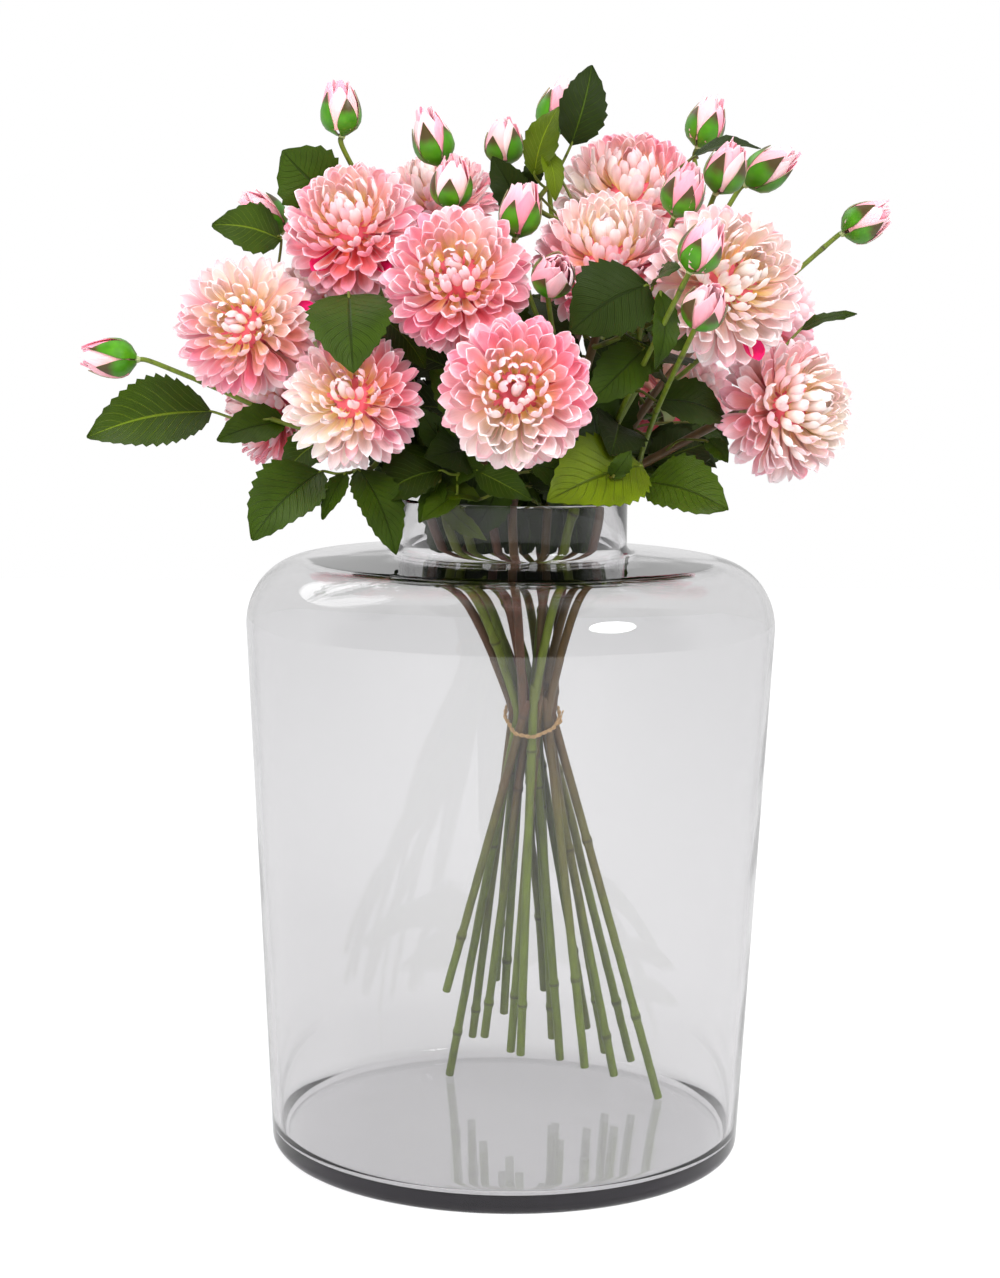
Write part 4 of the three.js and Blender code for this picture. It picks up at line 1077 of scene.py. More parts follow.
# Sections of a bloom's middle, as (radius, height) in shares of the bloom's radius.
CALYX_SECTION = (
    (0, -0.72), (0.085, -0.72), (0.12, -0.66), (0.2, -0.6), (0.27, -0.5), (0.3, -0.4), (0, -0.37),
)
CORE_SECTION = ((0, -0.36), (0.29, -0.36), (0.34, -0.2), (0.35, 0), (0.31, 0.18), (0.19, 0.3), (0, 0.34))
BRACTS = 9
BRACT_BASE = 0.3  # a bract's width at its base, as a share of its full width
BRACT_PEAK = 0.45  # where along its length it is widest


def turned(section, radius, name):
    """A part of a bloom's middle, from its section."""
    return lathe([(r * radius, z * radius) for r, z in section], 18, name)


def bract(length, width):
    """A pointed blade along +Z that looks towards +Y and bends back, with its place along and across."""
    t = np.linspace(0, 1, 7)[:, None]
    u = np.linspace(-1, 1, 5)[None, :]
    rise = BRACT_BASE + (1 - BRACT_BASE) * ramp(t, 0, BRACT_PEAK)
    past_peak = np.clip((t - BRACT_PEAK) / (1 - BRACT_PEAK), 0, 1)
    fall = np.sqrt(np.clip(1 - past_peak**1.7, 0.006, 1))
    x = u * width / 2 * rise * fall
    y = 0.25 * width * (u**2) * rise * fall - 0.12 * length * t**2
    return np.stack(np.broadcast_arrays(x, y, t * length), axis=2), t, u


def bract_ring(radius):
    """Small green bracts that lie against the back of a bloom."""
    skins = Skins()
    out = Matrix.Translation((0, 0.16 * radius, -0.6 * radius))
    over = Matrix.Rotation(math.pi, 4, "Z")
    for k in range(BRACTS):
        grid, t, u = bract(0.42 * radius, 0.26 * radius)
        spin = Matrix.Rotation(2 * math.pi * (k + 0.3 * (k % 2)) / BRACTS, 4, "Z")
        lean = Matrix.Rotation(math.radians(112 if k % 2 else 96), 4, "X")
        skins.add(grid, 0.5 * MM, matrix=spin @ out @ lean @ over, along=t, across=u)
    return skins.mesh("bracts")


BLOOM_DYES = {
    # name: cream side and level, coral side and level, share of hot petals, long petals
    "bloom_01": ((0.2, 0.9), -0.15, (0.1, -1.0), 0.0, 0.03, False),
    "bloom_02": ((0.3, 0.5), 0.4, (0.9, -0.3), -0.15, 0.01, True),
    "bloom_03": ((-0.8, -0.5), 0.25, (0.7, 0.5), -0.2, 0.0, True),
    "bloom_04": ((0.3, 1.0), -0.35, (0.4, -0.8), -0.3, 0.01, False),
    "bloom_05": ((-0.2, -0.9), 0.1, (0.9, 0.2), -0.6, 0.0, False),
    "bloom_06": ((0.0, 1.0), 0.05, (0.0, -1.0), -0.3, 0.0, False),
    "bloom_07": ((-0.6, -0.4), 0.4, (0.4, -0.8), -0.4, 0.0, False),
    "bloom_08": ((0.0, 0.1), 0.65, (-0.9, -0.4), -0.45, 0.01, False),
    "bloom_09": ((0.5, 0.0), 0.5, (-1.0, -0.3), -0.45, 0.0, False),
}
PLAIN_DYE = ((0.0, 0.6), 0.15, (0.0, -1.0), -0.35, 0.0, False)
PETAL_WIDTH = 0.235  # as a share of the bloom's radius

for number, (name, (middle, facing, radius)) in enumerate(bloom_places.items(), start=1):
    cream, cream_level, coral, coral_level, hot_share, is_long = BLOOM_DYES.get(name, PLAIN_DYE)
    matrix = place_matrix(middle, facing)
    back = matrix.to_3x3().inverted()
    petals = run_tree(
        head_tree,
        bpy.data.meshes.new("start"),
        petals=PETALS_PER_BLOOM,
        radius=radius,
        petal_width=PETAL_WIDTH * radius * (0.92 if is_long else 1.0),
        cream_side=back @ Vector((cream[0], -0.3, cream[1])),
        cream_level=cream_level,
        coral_side=back @ Vector((coral[0], -0.1, coral[1])),
        coral_level=coral_level,
        hot_share=hot_share,
        seed=10 * number,
        kinds=long_petals if is_long else round_petals,
        cloth=petal_cloth,
    )
    core, calyx = turned(CORE_SECTION, radius, "core"), turned(CALYX_SECTION, radius, "calyx")
    parts = [petals, core, calyx, bract_ring(radius)]
    for mesh in parts:
        mesh.transform(matrix)
    finishes = [petal_cloth, petal_cloth, sepal_cloth, sepal_cloth]
    made = piece(name.replace("bloom", "dahlia"), parts, finishes, "petal_cloth", name)
print(len(bloom_places), "blooms, the last with", triangles(made), "triangles")

# %% [markdown]
# ## Buds
#
# A bud is a goblet: five broad green sepals hug it, their tips stand a little away, and pale furled
# petals fill it to a ragged top. Each blade is a piece of the goblet's skin between two angles, drawn in
# a little for the petals. A bud's place and its stalk are read from its rod in the frame.

# %% Bud parts
BUD_RADIUS = 13.6 * MM
STALK_RADIUS = 1.7 * MM
BUD_SWELL_RINGS = 6  # rings of the frame's rod that belong to the bud itself
SEPAL_THICKNESS = 0.5 * MM
FURLED_THICKNESS = 0.4 * MM
FURLED_ROUNDS = ((0.93, 6, 0.96), (0.72, 5, 1.02), (0.42, 4, 1.0))  # size, petals, where they end
HIP_SECTION = ((0, -2.6), (1.7, -2.6), (2.6, -0.6), (3.4, 1), (0, 1.6))  # the bud's foot, in mm
NECK_MIDDLE = Vector((0, 0, 0.43))  # of the jar: a bud's tip is its farthest corner from here
GOBLET_AT = (0, 0.05, 0.14, 0.28, 0.45, 0.62, 0.8, 1)
GOBLET = (0.26, 0.52, 0.82, 0.99, 1, 0.9, 0.72, 0.5)
bud_random = np.random.default_rng(12)


def goblet_blade(length, start, end, half_angle, turn, size, pointed, spiral=0.0, flare=0.0, rows=8):
    """A blade on the goblet's skin. It looks outwards, and one edge may lie over its neighbour."""
    t = np.linspace(0, 1, rows)[:, None]
    u = np.linspace(-1, 1, 5)[None, :]
    along = start + (end - start) * t
    narrow = 0.72 + 0.28 * ramp(t, 0, 0.35)
    tip = (1 - 0.97 * t**1.9) if pointed else 1 - 0.8 * np.clip((t - 0.55) / 0.45, 0, 1) ** 1.8
    angle = turn - u * half_angle * narrow * tip
    radius = np.interp(along, GOBLET_AT, GOBLET) * BUD_RADIUS * size + spiral * u + flare * t**4
    grid = np.stack([radius * np.cos(angle), radius * np.sin(angle), along * length + 0 * angle], axis=2)
    return grid, t, u


def sepals(length):
    """Five sepals round a bud."""
    skins = Skins()
    first = bud_random.uniform(0, 2 * math.pi)
    for k in range(5):
        grid, t, u = goblet_blade(
            length,
            start=0.0,
            end=bud_random.uniform(0.66, 0.86),
            half_angle=math.radians(38),
            turn=first + 2 * math.pi * k / 5 + bud_random.uniform(-0.12, 0.12),
            size=1.0,
            pointed=True,
            flare=bud_random.uniform(-0.4, 1.8) * MM,
        )
        skins.add(grid, SEPAL_THICKNESS, along=t, across=u, tone=bud_random.uniform(0, 1))
    return skins.mesh("sepals")


def furled_petals(length):
    """Three rounds of petals that fill a bud, the inner ones closer and higher."""
    skins = Skins()
    for size, count, end in FURLED_ROUNDS:
        first = bud_random.uniform(0, 2 * math.pi)
        for k in range(count):
            grid, t, u = goblet_blade(
                length,
                start=0.12,
                end=end * bud_random.uniform(0.86, 1.07),
                half_angle=math.radians(250 / count),
                turn=first + 2 * math.pi * k / count + bud_random.uniform(-0.15, 0.15),
                size=size * bud_random.uniform(0.95, 1.03),
                pointed=False,
                spiral=bud_random.uniform(0.5, 1.1) * MM,
                flare=bud_random.uniform(-1.5, 1.2) * MM,
            )
            dye = {
                "cream": bud_random.uniform(0, 0.5),
                "hot": 0.3 * (bud_random.random() < 0.25),
                "tone": bud_random.uniform(0.1, 0.9),
            }
            skins.add(grid, FURLED_THICKNESS, along=0.45 + 0.45 * t, across=u, **dye)
    return skins.mesh("furled_petals")


def bud(name, stalk_line, base, tip, *nodes):
    """A bud with its stalk, from the stalk's line and the bud's two ends."""
    length = (tip - base).length
    matrix = place_matrix(base, tip - base)
    hip = lathe([(r * MM, z * MM) for r, z in HIP_SECTION], 14, "hip")
    parts = [hip, sepals(length), furled_petals(length)]
    for mesh in parts:
        mesh.transform(matrix)
    parts.append(rod(stalk_line, STALK_RADIUS, spacing=34 * MM, first=12 * MM, swell=0.14, brownness=-0.15))
    finishes = [sepal_cloth, sepal_cloth, petal_cloth, stem_skin]
    return piece(name, parts, finishes, "bud_cloth", *nodes)


def bud_line(node):
    """A bud's stalk line from its stem, its base and its tip."""
    corners = [v.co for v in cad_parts[node].data.vertices]
    farthest = max(corners, key=lambda p: (p - NECK_MIDDLE).length).copy()
    middles = ring_line(node, BUD_SIDES, near=farthest)
    return middles[: BUD_SWELL_RINGS - 2 : -1], middles[BUD_SWELL_RINGS - 1], middles[0]


# %% Buds
bud_names = [n for n in sorted(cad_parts) if n.startswith("bud_")]
for name in bud_names:
    made = bud(name.replace("bud", "bud_flower"), *bud_line(name), name)

# One more bud peeps out behind the leaves at the upper left. It has no solid in the frame.
HIDDEN_BUD = (Vector((-158, 20, 626)) * MM, Vector((-184, 14, 650)) * MM)
hidden_root = stem_lines["stem_11"][-4]
bud("bud_flower_behind", [hidden_root, hidden_root.lerp(HIDDEN_BUD[0], 0.6), HIDDEN_BUD[0]], *HIDDEN_BUD)
print(len(bud_names) + 1, "buds, the last read from the frame with", triangles(made), "triangles")

# %% [markdown]
# ## Leaf cloth
#
# The leaves are printed and pressed satin. The midrib and the side veins are pale yellow green, and the
# blade between them is creased by fine lines that run with the veins. The creases are painted lighter
# and darker, a painted light and shade of the pleats, and dark cloudy patches on the blade are painted
# shade. The under side is paler. `hue` goes from the dark bluish leaves over mid green to lime, so one
# material serves them all.

# %% Leaf cloth
VEIN_PAIRS = 8.0
VEIN_SLANT = 3.2  # how far a side vein runs towards the tip, in vein spacings
CREASES_PER_VEIN = 4.0


def pressed_leaf():
    """Printed satin leaf with veins that follow the blade, and painted shade in patches and along the
    pleats.
    """
    material, tree, shader = new_material("printed_satin_leaf")
    along, across, hue, tone, upper = (
        add(tree, "ShaderNodeAttribute", attribute_name=label).outputs["Fac"]
        for label in ("along", "across", "hue", "tone", "side")
    )
    edge = add(tree, "ShaderNodeMath", {0: across}, operation="ABSOLUTE")
    place = add(tree, "ShaderNodeTexCoord").outputs["Object"]
    cloudy = add(tree, "ShaderNodeTexNoise", {"Vector": place, "Scale": 60.0, "Detail": 3.0}).outputs[0]

    # Counted in vein spacings along the leaf, so that a vein lies at each whole number.
    slant = add(tree, "ShaderNodeMath", {0: edge, 1: -VEIN_SLANT}, operation="MULTIPLY")
    wobble = add(tree, "ShaderNodeMath", {0: cloudy, 1: 0.35, 2: slant}, operation="MULTIPLY_ADD")
    counted = {0: along, 1: VEIN_PAIRS + VEIN_SLANT, 2: wobble}
    steps = add(tree, "ShaderNodeMath", counted, operation="MULTIPLY_ADD")
    to_vein = add(tree, "ShaderNodeMath", {0: steps, 1: 0.5}, operation="PINGPONG")
    finer = add(tree, "ShaderNodeMath", {0: steps, 1: CREASES_PER_VEIN}, operation="MULTIPLY")
    creases = add(tree, "ShaderNodeMath", {0: finer, 1: 0.5}, operation="PINGPONG")
    on_vein, inside, rib, past_green, past_dark, dull = (
        add(tree, "ShaderNodeMapRange", {"Value": value, "From Min": start, "From Max": end}, **SMOOTH)
        for value, start, end in (
            (to_vein, 0.07, 0.01),
            (edge, 0.98, 0.45),
            (edge, 0.055, 0.015),
            (hue, 0.5, 1.0),
            (hue, 0.0, 0.5),
            (tone, 0.4, 0.6),
        )
    )
    vein = add(tree, "ShaderNodeMath", {0: on_vein, 1: inside}, operation="MULTIPLY")
    faint = add(tree, "ShaderNodeMath", {0: vein, 1: 0.6}, operation="MULTIPLY")
    veins = add(tree, "ShaderNodeMath", {0: faint, 1: rib}, operation="MAXIMUM")

    dark = coats(tree, "#101A03", (tone, "#1C2A05"))
    green = coats(tree, "#223602", (tone, "#344A05"))
    lime = coats(tree, "#485A03", (tone, "#6A7C07"))
    vein_dye = coats(tree, "#425C0C", (hue, "#8AA01C"), (dull, "#141E03"))
    # Painted shade: dark cloudy patches over the blade.
    painted_shade_patch = {"Value": cloudy, "From Min": 0.35, "From Max": 0.75, "To Max": 0.35}
    painted_shade_patches = add(tree, "ShaderNodeMapRange", painted_shade_patch, **SMOOTH)
    under = add(tree, "ShaderNodeMath", {0: 1.0, 1: upper}, operation="SUBTRACT")
    # The creases' colour is painted light and shade of the pleats; the creases are bumped as well.
    painted_pleat_shading, veined, backed = (
        add(tree, "ShaderNodeMath", {0: value, 1: share}, operation="MULTIPLY")
        for value, share in ((creases, 0.3), (veins, 0.55), (under, 0.35))
    )
    prints_and_painted_shade = ((painted_shade_patches, "#0A1202"), (painted_pleat_shading, "#4E6608"), (veined, vein_dye), (backed, "#4E6218"))
    printed_and_painted_shade = coats(tree, dark, (past_dark, green), (past_green, lime), *prints_and_painted_shade)
    tree.links.new(printed_and_painted_shade, shader.inputs["Base Color"])
    shader.inputs["Roughness"].default_value = 0.45
    shader.inputs["Specular IOR Level"].default_value = 0.2
    sunk = add(tree, "ShaderNodeMath", {0: veins, 1: -1.0}, operation="MULTIPLY")
    relief = add(tree, "ShaderNodeMath", {0: creases, 1: 0.35, 2: sunk}, operation="MULTIPLY_ADD")
    bump = add(tree, "ShaderNodeBump", {"Height": relief, "Strength": 0.7, "Distance": 0.9 * MM})
    tree.links.new(bump.outputs[0], shader.inputs["Normal"])
    return material


leaf_cloth = pressed_leaf()

# %% [markdown]
# ## Leaves
#
# A dahlia leaflet is a pointed oval with a saw edge. Its blade folds up a little along the midrib, arches
# from base to tip, and its edge waves. Two rows of points for each tooth give the saw edge: one in the
# notch and one at the point. The leaf stalks are thin rods from a stem to each leaflet's base.

# %% Leaf blades and stalks
LEAF_THICKNESS = 0.45 * MM
LEAF_ARCH = 0.1  # how high a blade arches, as a share of its length
TOOTH_LENGTH = 6.5 * MM
TOOTH_DEPTH = 0.055  # as a share of half the width
EDGE_WAVES = 1.6  # along the length
VEIN_RELIEF = 0.35 * MM  # how far the blade puffs up between two veins, at its edge
TWIG_RADIUS = 0.55 * STALK_RADIUS  # the thin stalk of one leaflet
STALKS_FROM = 0.45  # metres above the floor: lone leaves leave their stems above the jar's mouth
leaf_random = np.random.default_rng(31)


def leaf_grid(base, tip, width, up):
    """The points of one leaflet, with its place along and across."""
    span = tip - base
    length = span.length
    face = (up - span * (up.dot(span) / length**2)).normalized()
    side = face.cross(span).normalized()
    teeth = max(6, round(length / TOOTH_LENGTH))
    t = np.array([0.0] + [(k + step) / teeth for k in range(teeth) for step in (0.72, 0.98)])
    t[-1] = 1.0
    saw = np.array([0.0] + [1.0, -1.0] * teeth)
    half = t**0.7 * (1 - t) ** 0.98
    half = width / 2 * half / half.max() + 0.4 * MM
    t, saw, half = t[:, None], saw[:, None], half[:, None]
    u = np.linspace(-1, 1, 9)[None, :]
    x = u * half * (1 + TOOTH_DEPTH * saw * np.abs(u) ** 6)
    phase = leaf_random.uniform(0, 2 * math.pi)
    waves = np.sin(2 * math.pi * EDGE_WAVES * t + phase + 1.2 * u) * u**2
    wave = leaf_random.uniform(0.6, 1.6) * MM * waves
    fold = leaf_random.uniform(0.1, 0.3)
    droop = leaf_random.uniform(0.0, 0.05) * length
    y = LEAF_ARCH * length * np.sin(math.pi * t) + fold * np.abs(x) * (1 - 0.4 * t) + wave - droop * t**3
    steps = t * (VEIN_PAIRS + VEIN_SLANT) - np.abs(u) * VEIN_SLANT
    y = y + VEIN_RELIEF * np.cos(2 * math.pi * steps) * np.abs(u)
    x = x + leaf_random.uniform(-0.06, 0.06) * length * np.sin(math.pi * t)
    grid = np.array(base) + t[..., None] * np.array(span) + x[..., None] * np.array(side)
    return grid + np.broadcast_to(y, x.shape)[..., None] * np.array(face), t, u


def leaf_mesh(leaves):
    """The blades of some leaflets as one mesh."""
    skins = Skins()
    for base, tip, width, up, hue in leaves:
        grid, t, u = leaf_grid(base, tip, width, up)
        skins.add(grid, LEAF_THICKNESS, along=t, across=u, hue=hue, tone=leaf_random.uniform(0, 1))
    return skins.mesh("leaves")


def nearest_on(line, point):
    """The point of a line of points that is nearest to a point."""
    best = None
    for a, b in zip(line, line[1:]):
        share = (point - a).dot(b - a) / max((b - a).length_squared, 1e-12)
        here = a.lerp(b, min(max(share, 0), 1))
        if best is None or (here - point).length < (best - point).length:
            best = here
    return best


def leaf_piece(name, sprigs, *nodes):
    """Sprigs as one piece. Each has a main stalk, a short stalk to each leaflet, and its leaflets."""
    blades = [leaf_mesh([leaf for stalk, leaves in sprigs for leaf in leaves])]
    rods = []
    twig = {"radius": TWIG_RADIUS, "spacing": 50 * MM, "swell": 0.05}
    for stalk, leaves in sprigs:
        if len(leaves) == 1:
            base, tip = leaves[0][:2]
            rods.append(rod([*stalk, base, base.lerp(tip, 0.1)], brownness=0.3, **twig))
            continue
        rods.append(rod(stalk, STALK_RADIUS, spacing=40 * MM, swell=0.1, brownness=0.05))
        for base, tip, width, up, hue in leaves:
            start = min(stalk[-2:], key=lambda p: (p - base).length)
            inside = base.lerp(tip, 0.1)
            bent = start.lerp(base, 0.5) + Vector((0, 0, -0.08 * (base - start).length))
            rods.append(rod([start, bent, base, inside], **twig))
    finishes = [leaf_cloth] + [stem_skin] * len(rods)
    return piece(name, [*blades, *rods], finishes, "leaf_cloth", *nodes)


def in_metres(leaves):
    """A table of leaflets in millimetres as vectors in metres."""
    return [(Vector(b) * MM, Vector(t) * MM, w * MM, Vector(up), hue) for b, t, w, up, hue in leaves]


# %% Leaf sprigs
# For each sprig: its stem, the points of its stalk, and for each leaflet its base, tip, width, the way
# its upper side looks, and its hue.
SPRIGS = {
    "leaf_sprig_left": (
        "stem_02",
        [(-130, -20, 494), (-162, -20, 501)],
        [
            ((-203, -10, 505), (-284, -30, 489), 60, (-0.15, -0.75, 0.65), 0.62),
            ((-152, -14, 499), (-198, -24, 487), 30, (0, -0.8, 0.6), 0.45),
            ((-122, -22, 489), (-152, -45, 465), 30, (-0.2, -0.8, 0.5), 0.55),
        ],
    ),
    "leaf_sprig_front_left": (
        "stem_03",
        [(-92, -66, 472), (-104, -74, 470)],
        [
            ((-124, -74, 470), (-168, -97, 428), 54, (-0.35, -0.75, 0.55), 0.5),
            ((-100, -80, 472), (-74, -112, 420), 30, (0.25, -0.85, 0.35), 0.3),
            ((-108, -84, 470), (-122, -102, 441), 13, (0, -0.9, 0.4), 0.5),
        ],
    ),
    "leaf_sprig_mouth": (
        "stem_04",
        [(-29, -68, 468), (-36, -76, 469)],
        [
            ((-46, -82, 472), (-88, -92, 452), 36, (-0.1, -0.7, 0.7), 0.15),
            ((-36, -84, 457), (-58, -100, 441), 20, (0, -0.6, 0.8), 0.6),
            ((-24, -78, 472), (12, -90, 455), 24, (0.1, -0.8, 0.6), 0.5),
        ],
    ),
    "leaf_sprig_front_right": (
        "stem_09",
        [(70, -62, 462), (78, -68, 466)],
        [
            ((84, -72, 476), (22, -112, 456), 58, (0, -0.8, 0.6), 0.86),
            ((86, -70, 465), (139, -90, 450), 50, (0.1, -0.7, 0.7), 0.6),
            ((84, -62, 461), (112, -60, 456), 14, (0, -0.5, 0.9), 0.6),
        ],
    ),
    "leaf_sprig_middle": (
        "stem_08",
        [(80, -94, 556), (82, -108, 576)],
        [
            ((83, -118, 592), (34, -136, 562), 54, (-0.1, -0.9, 0.35), 0.05),
            ((86, -120, 592), (101, -140, 603), 20, (0.1, -0.7, 0.7), 0.4),
            ((90, -130, 588), (88, -134, 540), 18, (0.4, -0.9, 0), 0.4),
            ((82, -100, 552), (47, -122, 518), 32, (0.1, -0.9, 0.4), 0.45),
        ],
    ),
    "leaf_sprig_top": (
        "stem_07",
        [(18, 0, 640), (20, -6, 656)],
        [
            ((12, -16, 664), (26, -26, 708), 26, (-0.5, -0.8, 0.1), 1.0),
            ((36, -8, 684), (50, -4, 737), 33, (0.3, -0.95, 0), 0.1),
            ((4, -6, 640), (-16, -12, 676), 24, (-0.2, -0.9, 0.2), 0.0),
        ],
    ),
    "leaf_sprig_back": (
        "stem_17",
        [(6, 96, 470), (8, 106, 476)],
        [
            ((-12, 116, 474), (-72, 150, 450), 54, (-0.1, 0.7, 0.7), 0.4),
            ((34, 114, 472), (92, 148, 444), 50, (0.2, 0.7, 0.7), 0.5),
        ],
    ),
}

for name, (stem, stalk, leaves) in SPRIGS.items():
    points = [Vector(p) * MM for p in stalk]
    points.insert(0, nearest_on(stem_lines[stem], points[0]))
    made = leaf_piece(name.replace("leaf_sprig", "leafy_stalk"), [(points, in_metres(leaves))], name)
print(len(SPRIGS), "sprigs, the last with", triangles(made), "triangles")

# %% Small leaves of the front
# These leaves are too small or too hidden to need a solid in the frame. Each hangs on the stem that
# passes nearest below it.
SMALL_LEAVES = [
    ((-48, -60, 481), (-89, -80, 457), 36, (-0.2, -0.8, 0.5), 0.4),
    ((-40, -65, 484), (-61, -75, 512), 20, (-0.3, -0.9, 0.2), 0.35),
    ((-21, -75, 453), (-53, -85, 456), 22, (0, -0.5, 0.9), 0.7),
    ((-47, -80, 466), (-60, -95, 439), 16, (-0.2, -0.9, 0.3), 0.5),
    ((-8, -62, 466), (-26, -59, 427), 28, (-0.2, -1, 0.1), 0.3),
    ((-47, -50, 453), (-17, -64, 425), 15, (-0.5, -0.8, -0.1), 0.95),
    ((18, -60, 449), (0, -72, 459), 16, (0, -0.6, 0.8), 0.6),
    ((63, -100, 470), (75, -105, 487), 14, (0.4, -0.9, 0), 0.55),
    ((92, -60, 518), (142, -50, 505), 34, (0, -0.8, 0.6), 0.3),
    ((127, -40, 491), (142, -45, 477), 14, (0.2, -0.8, 0.5), 0.4),
    ((19, -20, 680), (26, -30, 647), 14, (0.3, -0.9, 0), 0.9),
    ((9, 0, 658), (16, -5, 681), 14, (-0.3, -0.9, 0), 0.2),
    ((116, -5, 676), (161, -15, 685), 22, (0, -0.4, 0.9), 0.1),
    ((-157, 0, 620), (-202, -10, 630), 40, (0, -0.8, 0.6), 0.6),
    ((-124, -10, 650), (-155, -15, 678), 46, (-0.2, -0.9, 0.2), 0.45),
    ((-106, -92, 584), (-100, -140, 536), 52, (0, -0.9, 0.4), 0.3),
    ((-84, -75, 568), (-57, -90, 538), 22, (0.2, -0.9, 0.2), 0.4),
    ((195, 20, 564), (232, 10, 575), 14, (0, -0.5, 0.9), 0.3),
]


def stem_below(point):
    """Where a leaf stalk leaves a stem: near the leaf and a little lower than it."""
    best, cost = None, 1e9
    for line in stem_lines.values():
        for here in line:
            away = (here - point).length
            climb = max(0, here.z - point.z + 0.3 * away)
            if here.z > STALKS_FROM and away + 2 * climb < cost:
                best, cost = here, away + 2 * climb
    return best


def lone_sprig(leaf, start):
    """A sprig of one leaf, whose stalk rises a little from its stem."""
    lean = start.lerp(leaf[0], 0.4) + Vector((0, 0, 0.12 * (leaf[0] - start).length))
    return [start, lean], [leaf]


small = in_metres(SMALL_LEAVES)
made = leaf_piece("small_leaves", [lone_sprig(leaf, stem_below(leaf[0])) for leaf in small])
print(len(small), "small leaves with", triangles(made), "triangles")

# %% [markdown]
# ## Leaves deep in the bunch
#
# Behind the front blooms every gap is dark with leaves. Each one grows from a stem at a height of its own.
# It tries some directions and keeps the first in which it clears every bloom, every other stem and the
# jar. More leaves hang lower down: inside the neck, behind it just above the shoulder, and low at the
# back of the bunch. The glass at the foot of the neck mirrors them, as the dark band on the shoulder.

# %% Inner leaves
LEAVES_PER_STEM = 6
TRIES = 40
LEAF_GAP = 5.5 * MM  # from a leaf's middle surface to another stem's line
BUNCH_MIDDLE = np.array((0.0, 0.02, 0.548))
BUNCH_REACH = np.array((0.2, 0.165, 0.118))
NECK_INSIDE = 71 * MM
NECK_OUTSIDE = 88 * MM
SHOULDER_TOP = 419 * MM
inner_random = np.random.default_rng(8)


def dense(line, step=4 * MM):
    """Points at an even spacing along a line of points."""
    points = np.array(line)
    run = np.concatenate([[0], np.cumsum(np.linalg.norm(np.diff(points, axis=0), axis=1))])
    at = np.arange(0, run[-1], step)
    return np.stack([np.interp(at, run, points[:, k]) for k in range(3)], axis=1)


stem_points = {name: dense(line) for name, line in stem_lines.items()}
bloom_middles = np.array([middle for middle, facing, radius in bloom_places.values()])
bloom_radii = np.array([radius for middle, facing, radius in bloom_places.values()])
OUTLINE = ((0.15, 0.7), (0.4, 1.0), (0.7, 0.75), (1, 0))  # places along a leaf, and its width there


def nearest(points, others):
    """The least distance between two sets of points."""
    return np.linalg.norm(points[:, None] - others[None], axis=2).min()


def has_room(leaf, stem=None):
    """Whether a leaf clears the blooms, the jar and all the stems but its own."""
    base, tip, width, up, hue = leaf
    span = tip - base
    side = up.cross(span).normalized() * width / 2
    points = np.array([base + span * t + side * u * wide for t, wide in OUTLINE for u in (-1, 0, 1)])
    from_blooms = np.linalg.norm(points[:, None] - bloom_middles[None], axis=2) / bloom_radii
    height, reach = points[:, 2], np.hypot(points[:, 0], points[:, 1])
    over_shoulder = (reach > NECK_OUTSIDE) & (height > SHOULDER_TOP)
    off_jar = (height > jar_height + 3 * MM) | (reach < NECK_INSIDE) | over_shoulder
    others = np.concatenate([line for name, line in stem_points.items() if name != stem])
    return from_blooms.min() > 0.97 and off_jar.all() and nearest(points, others) > LEAF_GAP


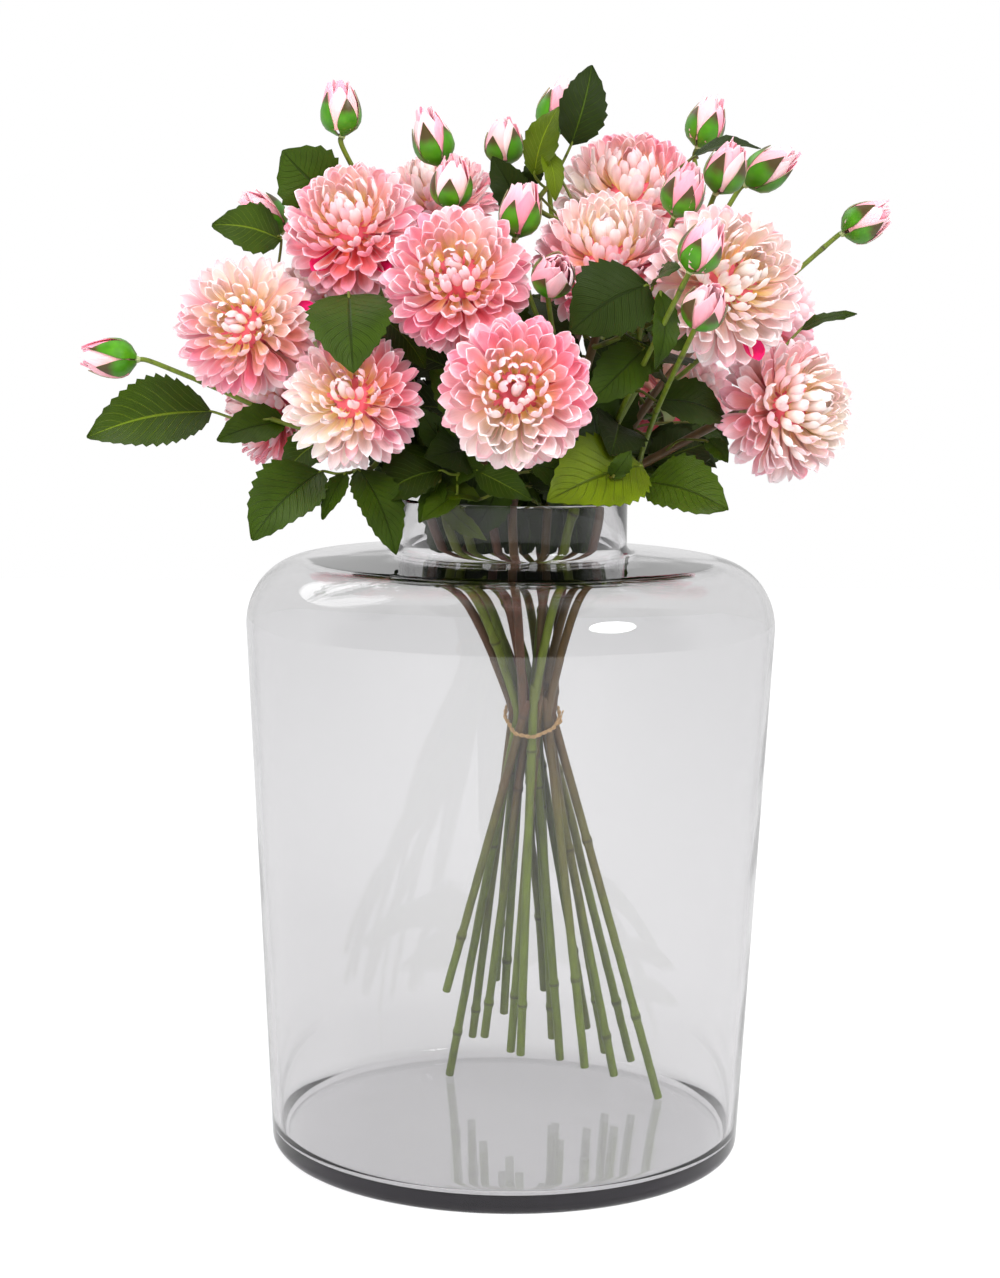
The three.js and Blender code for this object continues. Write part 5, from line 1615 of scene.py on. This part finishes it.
def leaf_off(here):
    """A leaf that grows from a point of a stem in a random direction."""
    turn, climb = inner_random.uniform(0, 2 * math.pi), math.radians(inner_random.uniform(-25, 60))
    out = Vector((math.cos(turn) * math.cos(climb), math.sin(turn) * math.cos(climb), math.sin(climb)))
    base = here + out * inner_random.uniform(8, 16) * MM
    tip = base + out * inner_random.uniform(42, 62) * MM
    facing = 0.8 if here.y > 0.06 else -0.8
    up = Vector((inner_random.uniform(-0.5, 0.5), facing, inner_random.uniform(0.1, 0.8)))
    return base, tip, inner_random.uniform(30, 42) * MM, up, inner_random.uniform(0, 0.4)


inner_count = 0
for name, line in stem_points.items():
    bloom_z = line[-1][2]
    heights = np.linspace(jar_height - 10 * MM, bloom_z - 30 * MM, LEAVES_PER_STEM)
    sprigs = []
    for height in heights:
        here = Vector(line[np.abs(line[:, 2] - height).argmin()])
        for attempt in range(TRIES):
            leaf = leaf_off(here)
            inside = (((np.array(leaf[1]) - BUNCH_MIDDLE) / BUNCH_REACH) ** 2).sum() < 1
            if inside and has_room(leaf, name):
                sprigs.append(lone_sprig(leaf, here))
                break
    inner_count += len(sprigs)
    if sprigs:
        leaf_piece(name.replace("stem", "inner_leaves"), sprigs)
print(inner_count, "inner leaves")

# %% Leaves that hang at the neck
# Name, how many at most, and the ranges in millimetres or degrees: distance from the axis, turn about it,
# height of the base, height of the tip, and width.
HANGING = [
    ("neck_leaves", 22, (0, 46), (-10, 190), (450, 468), (402, 414), (16, 34)),
    ("nape_leaves", 16, (94, 130), (67, 108), (462, 486), (423, 434), (26, 36)),
    ("low_leaves", 14, (112, 160), (20, 160), (484, 506), (456, 470), (30, 40)),
]
HANGING_TRIES = 1500
HANGING_GAP = 9 * MM  # between the middles of two leaves

for name, most, *ranges in HANGING:
    hanging = []
    for attempt in range(HANGING_TRIES):
        reach, turn, high, low, width = (inner_random.uniform(*limits) for limits in ranges)
        turn = math.radians(turn)
        base = Vector((reach * math.cos(turn), reach * math.sin(turn), high)) * MM
        drift = Vector((inner_random.uniform(-8, 8), inner_random.uniform(-2, 10), 0)) * MM
        tip = Vector((base.x, base.y, low * MM)) + drift
        up = Vector((inner_random.uniform(-0.6, 0.6), -1, 0.1))
        leaf = (base, tip, width * MM, up, inner_random.uniform(0, 0.25))
        far = all((leaf[0] + leaf[1] - other[0] - other[1]).length > 2 * HANGING_GAP for other in hanging)
        if far and has_room(leaf):
            hanging.append(leaf)
        if len(hanging) == most:
            break
    leaf_piece(name, [lone_sprig(leaf, stem_below(leaf[0])) for leaf in hanging])
    print(len(hanging), name)
